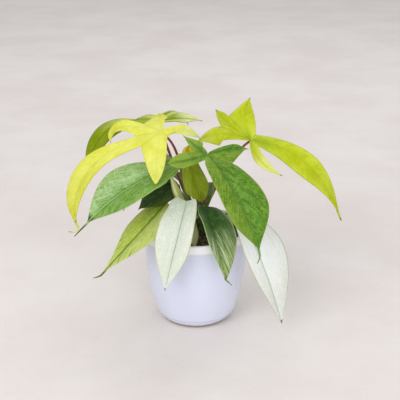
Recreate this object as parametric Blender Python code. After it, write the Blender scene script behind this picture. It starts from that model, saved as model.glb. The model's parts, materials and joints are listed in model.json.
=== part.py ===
"""A lobed philodendron in a white glazed pot.

One named object for each piece: the pot, its soil, the short main stem, a stalk and a
blade for every leaf, and the rolled new leaf. +Z is up, the front of the plant faces -Y,
and the origin is the middle of the pot's foot. Lengths are in millimetres and become
metres where a mesh or a curve is filled.
"""
import math
from dataclasses import dataclass

import bmesh
import bpy
from mathutils import Vector

MM = 0.001
GAP = 0.3  # clear space between two pieces that touch

# Pot: a turned wall that swells a little and draws in quickly to its foot
POT_HEIGHT = 118.0
POT_RADIUS = 62.5
FOOT_RADIUS = 43.5
FOOT_EDGE = 13.0
SWELL = 2.8
POT_WALL = 4.0
POT_FLOOR = 6.0
RIM_ROUND = 1.6  # how far the rim's rounding reaches down the wall and in from it
RIM_STEP = 0.45
LOW_WALL = 6.0  # below this height the rings lie closer
LOW_RINGS = 3
POT_SIDES = 40
POT_RINGS = 9
INNER_HEIGHTS = (117.0, 104.0, 70.0, 40.0, 20.0, 10.0)
FLOOR_CORNER = 4.0

# Soil: a slightly heaped top below the rim
SOIL_TOP = 104.0
SOIL_HEAP = 5.0
SOIL_UNEVEN = 0.6
SOIL_SLACK = 0.6  # clear of the pot's flat sides
SOIL_HEIGHTS = (11.0, 20.0, 40.0, 70.0)
SOIL_CORNER = 5.0
SOIL_SIDES = 32
SOIL_RINGS = 5

# Main stem: stands in a plain hole in the soil
STEM_X = 3.0
STEM_Y = 2.0
STEM_FOOT = 70.0
STEM_TOP = 150.0
STEM_RADIUS = 6.5
STEM_TOP_RADIUS = 4.0
STEM_CHAMFER = 1.0
STEM_SIDES = 16
SCAR_SPACING = 9.0
SCAR_HEIGHT = 2.0
SCAR_RISE = 0.4

# Leaf stalks
STALK_FOOT_RADIUS = 2.6
STALK_TOP_RADIUS = 1.5
STALK_LEAN = 35.0
STALK_STEPS = 12
STALK_BEVEL = 2
NECK_LENGTH = 2.5

# Blades
BLADE_THICKNESS = 0.9
HALF_COLUMNS = 2
SINUS_ROWS = 3
LONG_ROWS = 12
SHORT_ROWS = 8
LONG_LOBE = 80.0
BULGE = 0.07
OUTER_START = 0.14  # share of a lone lobe's rib that lies beside the heart
FOLD_FULL = 0.3  # share of a rib at which its fold is full
RIPPLE_RATE = 11
RIPPLE_SHIFT = 2
RIPPLE_WIDTH = 8.0  # ripples are weaker where half the lobe is narrower than this

# New leaf, still rolled: a slim spindle from the stem's side
NEW_LEAF_FOOT = (0.6, -3.2, 128.0)
NEW_LEAF_BEND = (-14.0, -28.0, 145.0)
NEW_LEAF_TIP = (-28.0, -32.0, 194.0)
NEW_LEAF_RADIUS = 5.5
NEW_LEAF_STEPS = 10
NEW_LEAF_FOOT_SHARE = 0.26  # radius at the foot as a share of the full radius
NEW_LEAF_TIP_SHARE = 0.20
NEW_LEAF_BELLY = 2.0  # over 1 puts the widest place above the middle

# Accuracy of the searches
SEARCH_STEPS = 60
STRAIGHT = 1e-4


@dataclass
class Lobe:
    """One finger of a blade. Its rib runs from the hub through middle to tip.

    skew is how much wider the left half is than half, and the right half narrower, as
    a share. settle is the share of the rib by which a margin has left its cut's corner.
    """

    middle: tuple
    tip: tuple
    half: float
    cut: float = 14.0
    lean: float = 0.5
    widest: float = 0.45
    point: float = 1.6
    neck: float = 1.0
    roll: float = 0.0
    fold: float = 8.0
    ripple: float = 0.6
    skew: float = 0.0
    settle: float = 0.9


@dataclass
class Leaf:
    """A blade, its lobes in order anticlockwise as seen from its face, and its stalk.

    hub is where the stalk meets the ribs. cut, in each lobe but the last, is how far from
    the hub the blade is cut in between that lobe and the next one, and lean is where
    between their ribs the cut ends, from 0 on that lobe to 1 on the next. ear is the width of
    the outer lobes beside the hub, as a share of their full width, and heart is how far
    they reach back past the hub. root is the direction and height where the stalk leaves
    the stem, reach is how far the stalk keeps its first and last directions, and arrive is
    the way down the stalk from the hub where it doesn't come straight from behind.
    """

    name: str
    hub: tuple
    lobes: list
    colour: tuple
    root: tuple
    facing: tuple = None
    ear: float = 0.6
    heart: float = 2.0
    reach: tuple = (30.0, 16.0)
    stalk_colour: tuple = (0.30, 0.36, 0.08)
    arrive: tuple = None


LIME = (0.66, 0.72, 0.06)
YELLOW_GREEN = (0.46, 0.60, 0.03)
OLIVE = (0.22, 0.36, 0.02)
GREEN = (0.10, 0.32, 0.05)
FRESH_GREEN = (0.13, 0.36, 0.06)
DARK_GREEN = (0.03, 0.13, 0.03)
PALE = (0.74, 0.80, 0.66)
PALE_OLIVE = (0.48, 0.50, 0.22)
RED_STALK = (0.32, 0.10, 0.03)
WHITE_GLAZE = (0.80, 0.80, 0.86)
DARK_SOIL = (0.035, 0.022, 0.012)
STEM_GREEN = (0.10, 0.13, 0.03)
NEW_LEAF_GREEN = (0.42, 0.46, 0.12)

LEAVES = [
    Leaf("lime_left", (-39, -18, 243), [
        Lobe((-41, 6, 248), (-43, 27, 251), 10, cut=30, lean=0.7, point=1.2),
        Lobe((-86, -4, 244), (-98, -10, 226), 9, cut=30, lean=0.8, widest=0.4, point=1.2,
             settle=0.5),
        Lobe((-119, -36, 206), (-137, -54, 143), 19.5, cut=34, lean=0.35, widest=0.62, point=1.0,
             neck=1.6, roll=20, settle=0.5),
        Lobe((-43, -46, 220), (-44, -62, 194), 13, cut=17, widest=0.35, point=1.0),
        Lobe((-15, -13, 243), (5, -6, 231), 6.5, widest=0.5, point=1.2, roll=25),
    ], LIME, (200, 146), stalk_colour=RED_STALK, arrive=(0.9, 0.0, -0.5), reach=(30, 30)),
    Leaf("olive_back", (-45, 35, 239), [
        Lobe((-16, 48, 238), (8, 46, 236), 10, cut=18),
        Lobe((-25, 62, 243), (-9, 66, 225), 8, cut=18, point=2.0),
        Lobe((-69, 72, 230), (-87, 96, 209), 9, cut=34),
        Lobe((-101, 30, 232), (-130, 16, 184), 20, widest=0.55, point=1.0, roll=15),
    ], OLIVE, (150, 138), facing=(-0.25, -0.5, 0.83), stalk_colour=RED_STALK,
        arrive=(0.35, -0.3, -0.9)),
    Leaf("green_left", (-20, -28, 206), [
        Lobe((-42, 0, 198), (-63, 18, 178), 12, cut=20),
        Lobe((-78.5, -53.5, 184.5), (-123, -67, 149), 29.5, point=1.5, widest=0.5, neck=0.7, fold=20,
             skew=-0.03),
    ], FRESH_GREEN, (228, 134), facing=(-0.3, -0.66, 0.68), ear=0.55, heart=3),
    Leaf("lime_right", (65, 5, 225), [
        Lobe((75, -8, 205), (101, -22, 190), 6, cut=14, widest=0.5, point=1.4),
        Lobe((129, -10, 202), (169, -28, 142), 16.5, cut=16, widest=0.48, point=1.6, skew=-0.1),
        Lobe((59, 20, 249), (65, 42, 266), 13.5, cut=42, lean=0.8, widest=0.35, point=1.4),
        Lobe((41, 18, 240), (24, 36, 253), 12, cut=42, widest=0.4, point=1.3),
        Lobe((31, -5, 236), (0, -16, 228), 14, widest=0.5, roll=-45),
    ], YELLOW_GREEN, (5, 144), stalk_colour=RED_STALK, arrive=(-0.9, 0.1, -0.35)),
    Leaf("green_right", (13, -40, 222), [
        Lobe((2, -37, 230), (-14, -28, 241), 8, cut=10, widest=0.45),
        Lobe((-8, -50, 219), (-31, -58, 218), 9.5, cut=13, widest=0.6, point=1.1, roll=-15),
        Lobe((46, -78, 187), (71, -97, 129), 25, cut=38, widest=0.64, point=1.4, neck=0.55, skew=0.165,
             settle=0.6),
        Lobe((37, -32, 225), (61, -22, 223), 11, widest=0.4),
    ], GREEN, (316, 136), arrive=(0.7, 0.3, -0.7), reach=(26, 26)),
    Leaf("olive_low", (-34, -27, 158), [
        Lobe((-71.5, -51, 122.5), (-109, -70, 86), 25, point=2.0, widest=0.38, fold=4, skew=0.1),
    ], OLIVE, (222, 114), facing=(-0.5, -0.45, 0.75), ear=0.95, heart=7),
    Leaf("white_front", (-10, -44, 167), [
        Lobe((-21, -69, 129), (-35, -82, 72), 22, widest=0.5, fold=18, roll=-18, point=1.3,
             skew=-0.12),
    ], PALE, (258, 113), facing=(-0.3, -0.78, 0.52), ear=0.8, heart=9),
    Leaf("dark_front", (10, -34, 157), [
        Lobe((22, -64, 131), (35, -82, 86), 21.5, widest=0.48, fold=14, roll=-10, point=0.9,
             skew=0.3),
    ], DARK_GREEN, (300, 118), facing=(0.5, -0.7, 0.5), ear=0.85, heart=4),
    Leaf("white_right", (47, -28, 150), [
        Lobe((76, -57, 99), (101, -75, 26), 27, widest=0.45, point=1.1, skew=0.26),
    ], PALE, (330, 112), facing=(0.45, -0.7, 0.55), ear=0.6, heart=4),
    Leaf("young_olive", (-8, -16, 224), [
        Lobe((-3, -28, 194), (10, -33, 163), 14, widest=0.7, point=1.1, neck=2.2),
    ], OLIVE, (262, 144), facing=(0.0, -0.85, 0.5), ear=0.6, stalk_colour=RED_STALK),
    Leaf("small_pale", (-3, -43, 141), [
        Lobe((-2, -47, 127), (-1, -50, 110), 5.5, widest=0.5, point=1.3),
    ], PALE_OLIVE, (288, 132), facing=(0.3, -0.9, 0.2), ear=0.7, reach=(12, 10),
        arrive=(0.35, 0.9, -0.2)),
    Leaf("dark_low", (-20, -9, 174), [
        Lobe((-45, -19, 164), (-67, -30, 151), 17),
    ], DARK_GREEN, (214, 124), facing=(-0.1, -0.6, 0.8), ear=0.8),
    Leaf("back_left", (-30, 34, 172), [
        Lobe((-20, 62, 160), (-16, 84, 138), 11, cut=22),
        Lobe((-64, 66, 152), (-94, 82, 104), 22, cut=22, point=1.8),
        Lobe((-56, 34, 162), (-78, 30, 146), 10),
    ], GREEN, (128, 128)),
    Leaf("back_right", (32, 34, 172), [
        Lobe((52, 28, 162), (70, 22, 148), 10, cut=20),
        Lobe((60, 68, 152), (78, 100, 102), 22, cut=22, point=1.8),
        Lobe((28, 62, 162), (26, 84, 142), 10),
    ], FRESH_GREEN, (48, 128)),
    Leaf("back_middle", (2, 34, 152), [
        Lobe((4, 80, 136), (6, 114, 84), 20, point=1.8),
    ], DARK_GREEN, (88, 118), facing=(0.0, 0.35, 0.95), ear=0.7, heart=5),
]


def clear_scene():
    for item in list(bpy.data.objects):
        bpy.data.objects.remove(item, do_unlink=True)


def finish(name, colour, roughness):
    """A plain surface finish in one colour."""
    material = bpy.data.materials.new(name)
    material.use_nodes = True
    shader = material.node_tree.nodes["Principled BSDF"]
    shader.inputs["Base Color"].default_value = (*colour, 1.0)
    shader.inputs["Roughness"].default_value = roughness
    return material


def add_object(name, data, material):
    data.materials.append(material)
    item = bpy.data.objects.new(name, data)
    bpy.context.collection.objects.link(item)
    return item


def turned_mesh(name, profile, sides):
    """Spin a closed or axis-to-axis profile of (radius, height) about Z."""
    shape = bmesh.new()
    points = [shape.verts.new((radius * MM, 0.0, height * MM)) for radius, height in profile]
    for first, second in zip(points, points[1:]):
        shape.edges.new((first, second))
    bmesh.ops.spin(
        shape, geom=shape.verts[:] + shape.edges[:], cent=(0, 0, 0), axis=(0, 0, 1),
        angle=2 * math.pi, steps=sides, use_merge=True)
    bmesh.ops.remove_doubles(shape, verts=shape.verts[:], dist=0.01 * MM)
    bmesh.ops.recalc_face_normals(shape, faces=shape.faces[:])
    mesh = bpy.data.meshes.new(name)
    shape.to_mesh(mesh)
    shape.free()
    return mesh


def shade_round(mesh, angle=40.0):
    mesh.shade_smooth()
    mesh.set_sharp_from_angle(angle=math.radians(angle))


def pot_radius(height):
    """Outer radius of the pot's wall at a height."""
    share = height / POT_HEIGHT
    wall = FOOT_RADIUS + (POT_RADIUS - FOOT_RADIUS) * (1 - (1 - share) ** SWELL)
    below = max(0.0, 1 - height / FOOT_EDGE)
    return wall - FOOT_EDGE * (1 - math.sqrt(1 - below * below))


def make_pot():
    """Outer wall from the foot up, over the rounded rim, and down the inner wall."""
    profile = [(0.0, 0.0)]
    for step in range(LOW_RINGS):
        height = LOW_WALL * step / LOW_RINGS
        profile.append((pot_radius(height), height))
    for step in range(POT_RINGS + 1):
        height = LOW_WALL + (POT_HEIGHT - RIM_ROUND - LOW_WALL) * step / POT_RINGS
        profile.append((pot_radius(height), height))
    profile.append((POT_RADIUS - RIM_STEP, POT_HEIGHT - RIM_STEP))
    profile.append((POT_RADIUS - RIM_ROUND, POT_HEIGHT))
    profile.append((POT_RADIUS - POT_WALL + RIM_STEP, POT_HEIGHT))
    for height in INNER_HEIGHTS:
        profile.append((pot_radius(height) - POT_WALL, height))
    profile.append((pot_radius(POT_FLOOR) - POT_WALL - FLOOR_CORNER, POT_FLOOR))
    profile.append((0.0, POT_FLOOR))
    mesh = turned_mesh("pot", profile, POT_SIDES)
    shade_round(mesh)
    return add_object("pot", mesh, finish("white_glaze", WHITE_GLAZE, 0.18))


def soil_height(radius, angle):
    """Heaped towards the stem, with low lumps that follow two crossed waves."""
    share = radius / POT_RADIUS
    lumps = math.sin(5 * angle + 9 * share) + math.sin(3 * angle - 14 * share)
    return SOIL_TOP + SOIL_HEAP * (1 - share * share) + SOIL_UNEVEN * lumps


def make_soil():
    """A plug that fills the pot, with a plain hole for the stem."""
    hole = STEM_RADIUS + GAP
    wall_gap = POT_WALL + SOIL_SLACK
    outer = pot_radius(SOIL_TOP) - wall_gap
    profile = [(0.0, POT_FLOOR + GAP)]
    profile.append((pot_radius(POT_FLOOR) - wall_gap - SOIL_CORNER, POT_FLOOR + GAP))
    for height in SOIL_HEIGHTS:
        profile.append((pot_radius(height) - wall_gap, height))
    for step in range(SOIL_RINGS + 1):
        radius = outer + (hole - outer) * step / SOIL_RINGS
        profile.append((radius, SOIL_TOP))
    profile.append((hole, STEM_FOOT - GAP))
    profile.append((0.0, STEM_FOOT - GAP))
    mesh = turned_mesh("soil", profile, SOIL_SIDES)
    for vertex in mesh.vertices:
        point = vertex.co / MM
        radius = math.hypot(point.x, point.y)
        if point.z > SOIL_TOP - GAP:
            height = soil_height(radius, math.atan2(point.y, point.x))
            vertex.co.z = height * MM
        if radius < hole + GAP:
            vertex.co.x += STEM_X * MM
            vertex.co.y += STEM_Y * MM
    return add_object("soil", mesh, finish("dark_soil", DARK_SOIL, 0.95))


def stem_radius(height):
    """Radius of the main stem, which tapers above the soil."""
    share = max(0.0, (height - SOIL_TOP) / (STEM_TOP - SOIL_TOP))
    return STEM_RADIUS + (STEM_TOP_RADIUS - STEM_RADIUS) * share


def make_stem():
    """A short thick stem with raised leaf scars round it."""
    profile = [(0.0, STEM_FOOT), (STEM_RADIUS - STEM_CHAMFER, STEM_FOOT)]
    profile.append((STEM_RADIUS, STEM_FOOT + STEM_CHAMFER))
    profile.append((STEM_RADIUS, SOIL_TOP))
    height = SOIL_TOP + SCAR_SPACING
    while height < STEM_TOP - SCAR_HEIGHT:
        profile.append((stem_radius(height) - SCAR_RISE, height - SCAR_HEIGHT))
        profile.append((stem_radius(height), height))
        height += SCAR_SPACING
    profile.append((STEM_TOP_RADIUS - SCAR_RISE, STEM_TOP - SCAR_RISE))
    profile.append((0.0, STEM_TOP))
    mesh = turned_mesh("main_stem", profile, STEM_SIDES)
    for vertex in mesh.vertices:
        vertex.co.x += STEM_X * MM
        vertex.co.y += STEM_Y * MM
    mesh.shade_smooth()
    return add_object("main_stem", mesh, finish("stem_green", STEM_GREEN, 0.6))


class Rib:
    """A lobe's midrib: a parabola with a frame that turns with it and no more."""

    def __init__(self, leaf, lobe, facing):
        self.lobe = lobe
        self.start = Vector(leaf.hub)
        self.end = Vector(lobe.tip)
        self.bend = 2 * Vector(lobe.middle) - (self.start + self.end) / 2
        first = (self.bend - self.start).normalized()
        last = (self.end - self.bend).normalized()
        face = (facing - facing.dot(first) * first).normalized()
        self.hinge = first.cross(last)
        if self.hinge.length < STRAIGHT:
            self.hinge = face
        self.hinge.normalize()
        self.along_hinge = face.dot(self.hinge)
        self.off_hinge = face.dot(self.hinge.cross(first))

    def point(self, share):
        rest = 1 - share
        return rest * rest * self.start + 2 * rest * share * self.bend + share * share * self.end

    def tangent(self, share):
        slope = (1 - share) * (self.bend - self.start) + share * (self.end - self.bend)
        return slope.normalized()

    def frame(self, share):
        """The leftward and upward directions of the blade at a share of the rib."""
        tangent = self.tangent(share)
        up = self.along_hinge * self.hinge + self.off_hinge * self.hinge.cross(tangent)
        left = up.cross(tangent)
        turn = math.radians(self.lobe.roll) * share
        return (left * math.cos(turn) + up * math.sin(turn),
                up * math.cos(turn) - left * math.sin(turn))

    def share_at(self, distance):
        """The share at which the rib is this far from the hub, or half of a shorter rib."""
        for step in range(SEARCH_STEPS + 1):
            share = step / SEARCH_STEPS
            if (self.point(share) - self.start).length >= distance:
                return share
        return 0.5

    def length(self):
        return (self.bend - self.start).length / 2 + (self.end - self.bend).length / 2


def half_width(lobe, half, share, start, base):
    """Half the blade's width: from base at start, to the widest place, to the tip."""
    if share < lobe.widest:
        rise = math.sin(math.pi / 2 * max(0.0, share - start) / (lobe.widest - start))
        return base + (half - base) * rise ** lobe.neck
    rest = (share - lobe.widest) / (1 - lobe.widest)
    return half * (1 - rest) ** lobe.point * (1 + lobe.point * rest)


def skewed(lobe, hand):
    """Half the width of a lobe at its widest place, on one side of its rib."""
    return lobe.half * (1 + lobe.skew * hand)


class Side:
    """One margin of a lobe, on its left (+1) or right (-1)."""

    def __init__(self, rib, hand, start, corner, base):
        self.rib = rib
        self.hand = hand
        self.start = start
        self.base = base
        self.drift = Vector((0, 0, 0))
        if corner is not None:
            self.drift = corner - self.free_point(start)

    def free_point(self, share):
        lobe = self.rib.lobe
        left, up = self.rib.frame(share)
        width = half_width(lobe, skewed(lobe, self.hand), share, self.start, self.base)
        rise = math.radians(lobe.fold) * min(1.0, share / FOLD_FULL)
        wave = math.sin(RIPPLE_RATE * share + RIPPLE_SHIFT * self.hand)
        lift = lobe.ripple * wave * min(1.0, width / RIPPLE_WIDTH)
        out = left * self.hand * math.cos(rise) + up * math.sin(rise)
        return self.rib.point(share) + out * width + up * lift

    def point(self, share):
        fade = max(0.0, 1 - (share - self.start) / (self.rib.lobe.settle - self.start))
        return self.free_point(share) + self.drift * fade * fade


def blade_facing(leaf):
    """Which way the blade's face looks at its hub."""
    if leaf.facing is not None:
        return Vector(leaf.facing).normalized()
    hub = Vector(leaf.hub)
    arms = [(Vector(lobe.middle) - hub).normalized() for lobe in leaf.lobes]
    total = Vector((0, 0, 0))
    for first, second in zip(arms, arms[1:]):
        total += first.cross(second)
    return total.normalized()


def blade_sheet(leaf, half_columns, sinus_rows, long_rows, short_rows):
    """The blade as one thin sheet of triangles. Returns its points and faces."""
    facing = blade_facing(leaf)
    hub = Vector(leaf.hub)
    ribs = [Rib(leaf, lobe, facing) for lobe in leaf.lobes]
    count = len(ribs)
    corners = []
    for first, second in zip(ribs, ribs[1:]):
        near = first.point(first.share_at(first.lobe.cut))
        far = second.point(second.share_at(first.lobe.cut))
        corners.append(near.lerp(far, first.lobe.lean))

    points = [hub]
    index = {}

    def place(key, point):
        if key not in index:
            index[key] = len(points)
            points.append(point)
        return index[key]

    faces = []
    for number, rib in enumerate(ribs):
        lobe = rib.lobe
        left_cut = lobe.cut if number < count - 1 else None
        right_cut = ribs[number - 1].lobe.cut if number > 0 else None
        cuts = [cut for cut in (left_cut, right_cut) if cut is not None]
        start = rib.share_at(sum(cuts) / len(cuts)) if cuts else OUTER_START
        sides = {}
        for hand, cut, corner_number in ((1, left_cut, number), (-1, right_cut, number - 1)):
            if cut is None:
                sides[hand] = Side(rib, hand, start, None, leaf.ear * skewed(lobe, hand))
                continue
            share = rib.share_at(cut)
            corner = corners[corner_number]
            base = (corner - rib.point(share)).length
            sides[hand] = Side(rib, hand, share, corner, base)
        rows = long_rows if rib.length() > LONG_LOBE else short_rows

        def edge(row, hand):
            side = sides[hand]
            cut = left_cut if hand > 0 else right_cut
            if row >= sinus_rows:
                rest = (row - sinus_rows) / (rows - sinus_rows)
                return side.point(side.start + (1 - side.start) * rest)
            part = row / sinus_rows
            if cut is not None:
                corner = corners[number if hand > 0 else number - 1]
                return hub + (corner - hub) * part
            share = start * part
            left, up = rib.frame(share)
            rise = math.radians(lobe.fold) * min(1.0, share / FOLD_FULL)
            out = left * hand * math.cos(rise) + up * math.sin(rise)
            back = leaf.heart * 4 * part * (1 - part)
            return rib.point(share) + out * side.base * math.sqrt(part) - rib.tangent(share) * back

        def vertex(row, column):
            if row == 0:
                return 0
            if row == rows:
                return place((number, "tip"), rib.point(1.0))
            shared_left = column == half_columns and left_cut is not None
            shared_right = column == -half_columns and right_cut is not None
            if row <= sinus_rows and (shared_left or shared_right):
                hand = 1 if shared_left else -1
                pair = number if shared_left else number - 1
                return place(("web", pair, row), edge(row, hand))
            if row <= sinus_rows:
                share = start * row / sinus_rows
            else:
                share = start + (1 - start) * (row - sinus_rows) / (rows - sinus_rows)
            middle = rib.point(share)
            across = abs(column) / half_columns
            if column == 0:
                return place((number, row, 0), middle)
            margin = edge(row, 1 if column > 0 else -1)
            up = rib.frame(share)[1]
            puff = BULGE * (margin - middle).length * 4 * across * (1 - across)
            return place((number, row, column), middle + (margin - middle) * across + up * puff)

        for row in range(rows):
            for column in range(-half_columns, half_columns):
                near_right = vertex(row, column)
                near_left = vertex(row, column + 1)
                far_right = vertex(row + 1, column)
                far_left = vertex(row + 1, column + 1)
                if row == 0:
                    faces.append((0, far_right, far_left))
                elif row == rows - 1:
                    faces.append((near_right, far_right, near_left))
                elif column < 0:
                    faces.append((near_right, far_right, far_left))
                    faces.append((near_right, far_left, near_left))
                else:
                    faces.append((near_right, far_right, near_left))
                    faces.append((far_right, far_left, near_left))
    return points, faces


def make_blade(leaf):
    """Give the sheet its thickness, half of it on either side."""
    points, faces = blade_sheet(leaf, HALF_COLUMNS, SINUS_ROWS, LONG_ROWS, SHORT_ROWS)
    mesh = bpy.data.meshes.new(leaf.name + "_blade")
    mesh.from_pydata([point * MM for point in points], [], faces)
    mesh.shade_smooth()
    blade = add_object(leaf.name + "_blade", mesh, finish(leaf.name + "_skin", leaf.colour, 0.4))
    thickness = blade.modifiers.new("Thickness", "SOLIDIFY")
    thickness.thickness = BLADE_THICKNESS * MM
    thickness.offset = 0.0
    return blade


def bezier(first, second, third, fourth, share):
    rest = 1 - share
    return (rest ** 3 * first + 3 * rest ** 2 * share * second
            + 3 * rest * share ** 2 * third + share ** 3 * fourth)


def blade_droop(leaf):
    """The steepest fall of a rib at the hub, as a slope from the plane of the hub."""
    facing = blade_facing(leaf)
    falls = [0.0]
    for lobe in leaf.lobes:
        falls.append(-Rib(leaf, lobe, facing).tangent(0.0).dot(facing))
    fall = max(falls)
    return fall / math.sqrt(1 - fall * fall)


def stalk_curve(leaf):
    """The stalk's four control points: off the stem, and up to a short neck."""
    direction, height = leaf.root
    angle = math.radians(direction)
    lean = math.radians(STALK_LEAN)
    outward = Vector((math.cos(angle), math.sin(angle), 0))
    first_way = outward * math.sin(lean) + Vector((0, 0, math.cos(lean)))
    clear = stem_radius(height) + GAP + STALK_FOOT_RADIUS * math.cos(lean)
    start = Vector((STEM_X, STEM_Y, height)) + outward * clear
    facing = blade_facing(leaf)
    below = BLADE_THICKNESS / 2 + GAP + STALK_TOP_RADIUS * blade_droop(leaf)
    end = Vector(leaf.hub) - facing * (below + NECK_LENGTH)
    last_way = Vector(leaf.arrive).normalized() if leaf.arrive else -facing
    return start, start + first_way * leaf.reach[0], end + last_way * leaf.reach[1], end


def make_stalk(leaf):
    """A tapered stalk, thickest at the stem."""
    controls = stalk_curve(leaf)
    curve = bpy.data.curves.new(leaf.name + "_stalk", "CURVE")
    curve.dimensions = "3D"
    curve.bevel_depth = STALK_FOOT_RADIUS * MM
    curve.bevel_resolution = STALK_BEVEL
    curve.use_fill_caps = True
    curve.render_resolution_u = 0
    spline = curve.splines.new("POLY")
    spline.points.add(STALK_STEPS + 1)
    thin = STALK_TOP_RADIUS / STALK_FOOT_RADIUS
    for step, point in enumerate(spline.points):
        share = min(1.0, step / STALK_STEPS)
        place = bezier(*controls, share)
        if step > STALK_STEPS:
            place = controls[3] + blade_facing(leaf) * NECK_LENGTH
        point.co = (*(place * MM), 1.0)
        point.radius = thin + (1 - thin) * (1 - share) ** 2
    return add_object(leaf.name + "_stalk", curve,
                      finish(leaf.name + "_stalk_skin", leaf.stalk_colour, 0.45))


def make_new_leaf():
    """A rolled leaf that has not opened yet: a slim spindle beside the stem."""
    foot = Vector(NEW_LEAF_FOOT)
    bend = Vector(NEW_LEAF_BEND)
    tip = Vector(NEW_LEAF_TIP)
    curve = bpy.data.curves.new("new_leaf", "CURVE")
    curve.dimensions = "3D"
    curve.bevel_depth = NEW_LEAF_RADIUS * MM
    curve.bevel_resolution = STALK_BEVEL
    curve.use_fill_caps = True
    curve.render_resolution_u = 0
    spline = curve.splines.new("POLY")
    spline.points.add(NEW_LEAF_STEPS)
    for step, point in enumerate(spline.points):
        share = step / NEW_LEAF_STEPS
        rest = 1 - share
        place = (rest * rest * foot + 2 * rest * share * bend + share * share * tip) * MM
        point.co = (*place, 1.0)
        ends = NEW_LEAF_FOOT_SHARE * rest + NEW_LEAF_TIP_SHARE * share
        swell = math.sin(math.pi * share ** NEW_LEAF_BELLY)
        point.radius = ends + (1 - NEW_LEAF_FOOT_SHARE) * swell
    return add_object("new_leaf", curve, finish("new_leaf_skin", NEW_LEAF_GREEN, 0.45))


def build():
    clear_scene()
    make_pot()
    make_soil()
    make_stem()
    for leaf in LEAVES:
        make_stalk(leaf)
        make_blade(leaf)
    make_new_leaf()


build()
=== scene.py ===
# %% [markdown]
# # A lobed philodendron in a white glazed pot
#
# This lesson dresses a plain model of a house plant. The plain model is the frame: every
# leaf, stalk, the pot and the soil are already there at their true size and place. Each
# step below makes the finer piece that stands for one of them, and gives it a finish that
# is worked out by nodes, so no picture is needed.
#
# Lengths are written in millimetres, as a grower would measure a leaf, and become metres
# where a mesh is filled. +Z is up and the front of the plant faces -Y.

# %% Load the frame
import json
import math
import random
from dataclasses import dataclass

import bpy
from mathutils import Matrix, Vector, noise

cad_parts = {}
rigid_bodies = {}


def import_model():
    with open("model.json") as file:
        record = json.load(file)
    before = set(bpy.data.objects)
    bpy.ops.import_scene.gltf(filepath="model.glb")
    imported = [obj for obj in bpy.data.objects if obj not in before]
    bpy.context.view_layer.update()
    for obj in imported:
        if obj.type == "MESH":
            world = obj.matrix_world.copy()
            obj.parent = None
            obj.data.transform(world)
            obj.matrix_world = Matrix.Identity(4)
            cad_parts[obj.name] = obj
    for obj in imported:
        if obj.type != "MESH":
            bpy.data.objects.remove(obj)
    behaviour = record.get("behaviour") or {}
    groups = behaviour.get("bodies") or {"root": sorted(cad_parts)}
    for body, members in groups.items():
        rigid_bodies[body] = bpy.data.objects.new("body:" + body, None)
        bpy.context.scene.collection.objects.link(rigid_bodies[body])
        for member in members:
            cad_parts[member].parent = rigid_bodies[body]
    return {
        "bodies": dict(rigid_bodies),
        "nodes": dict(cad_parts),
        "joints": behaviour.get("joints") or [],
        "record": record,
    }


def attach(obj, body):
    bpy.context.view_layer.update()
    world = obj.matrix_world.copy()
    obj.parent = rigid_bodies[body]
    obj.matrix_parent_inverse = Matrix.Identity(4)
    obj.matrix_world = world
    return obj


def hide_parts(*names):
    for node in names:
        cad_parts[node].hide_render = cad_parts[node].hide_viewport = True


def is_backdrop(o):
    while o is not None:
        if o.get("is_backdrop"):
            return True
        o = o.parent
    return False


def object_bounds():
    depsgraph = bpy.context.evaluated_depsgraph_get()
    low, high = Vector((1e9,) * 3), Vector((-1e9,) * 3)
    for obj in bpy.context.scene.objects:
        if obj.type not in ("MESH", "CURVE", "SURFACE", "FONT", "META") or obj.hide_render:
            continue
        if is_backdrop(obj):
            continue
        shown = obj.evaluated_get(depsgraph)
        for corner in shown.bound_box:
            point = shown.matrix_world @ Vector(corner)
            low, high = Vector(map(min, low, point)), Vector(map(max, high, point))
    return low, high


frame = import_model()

MM = 0.001
BODY = "root"
CAD_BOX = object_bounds()
print("the frame's box:", [[round(value, 4) for value in corner] for corner in CAD_BOX])

# %% [markdown]
# ## The camera
#
# The plant was seen from a little above and from far enough away that the pot's sides
# hardly lean. A camera looks along its own -Z, so turning it by 90 degrees less the
# downward angle about X points it at the plant. Its place follows from the point it looks
# at, its distance and that angle.

# %% Camera
LOOK_AT = Vector((5.3, 0.0, 151.4)) * MM
VIEW_DISTANCE = 1.125
VIEW_DOWN = math.radians(21.5)
VIEW_ANGLE = math.radians(24.0)

bpy.ops.object.select_all(action="DESELECT")
away = Vector((0.0, -math.cos(VIEW_DOWN), math.sin(VIEW_DOWN)))
bpy.ops.object.camera_add(
    location=LOOK_AT + away * VIEW_DISTANCE,
    rotation=(math.pi / 2 - VIEW_DOWN, 0.0, 0.0))
camera = bpy.context.object
camera.name = "camera"
camera.data.angle = VIEW_ANGLE
bpy.context.scene.camera = camera
print("the camera stands at", [round(value, 3) for value in camera.location])

# %% [markdown]
# ## Sums on sockets
#
# A leaf's colour is a sum of many small causes: the rib, the side veins, the pale flecks,
# the edge. Each of them is a number between 0 and 1 that varies over the blade. Wiring
# such sums by hand takes dozens of nodes, so a small class wraps a socket, and plus, minus
# and times on it each add one Math node. What is left reads like the formula it is.

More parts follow.
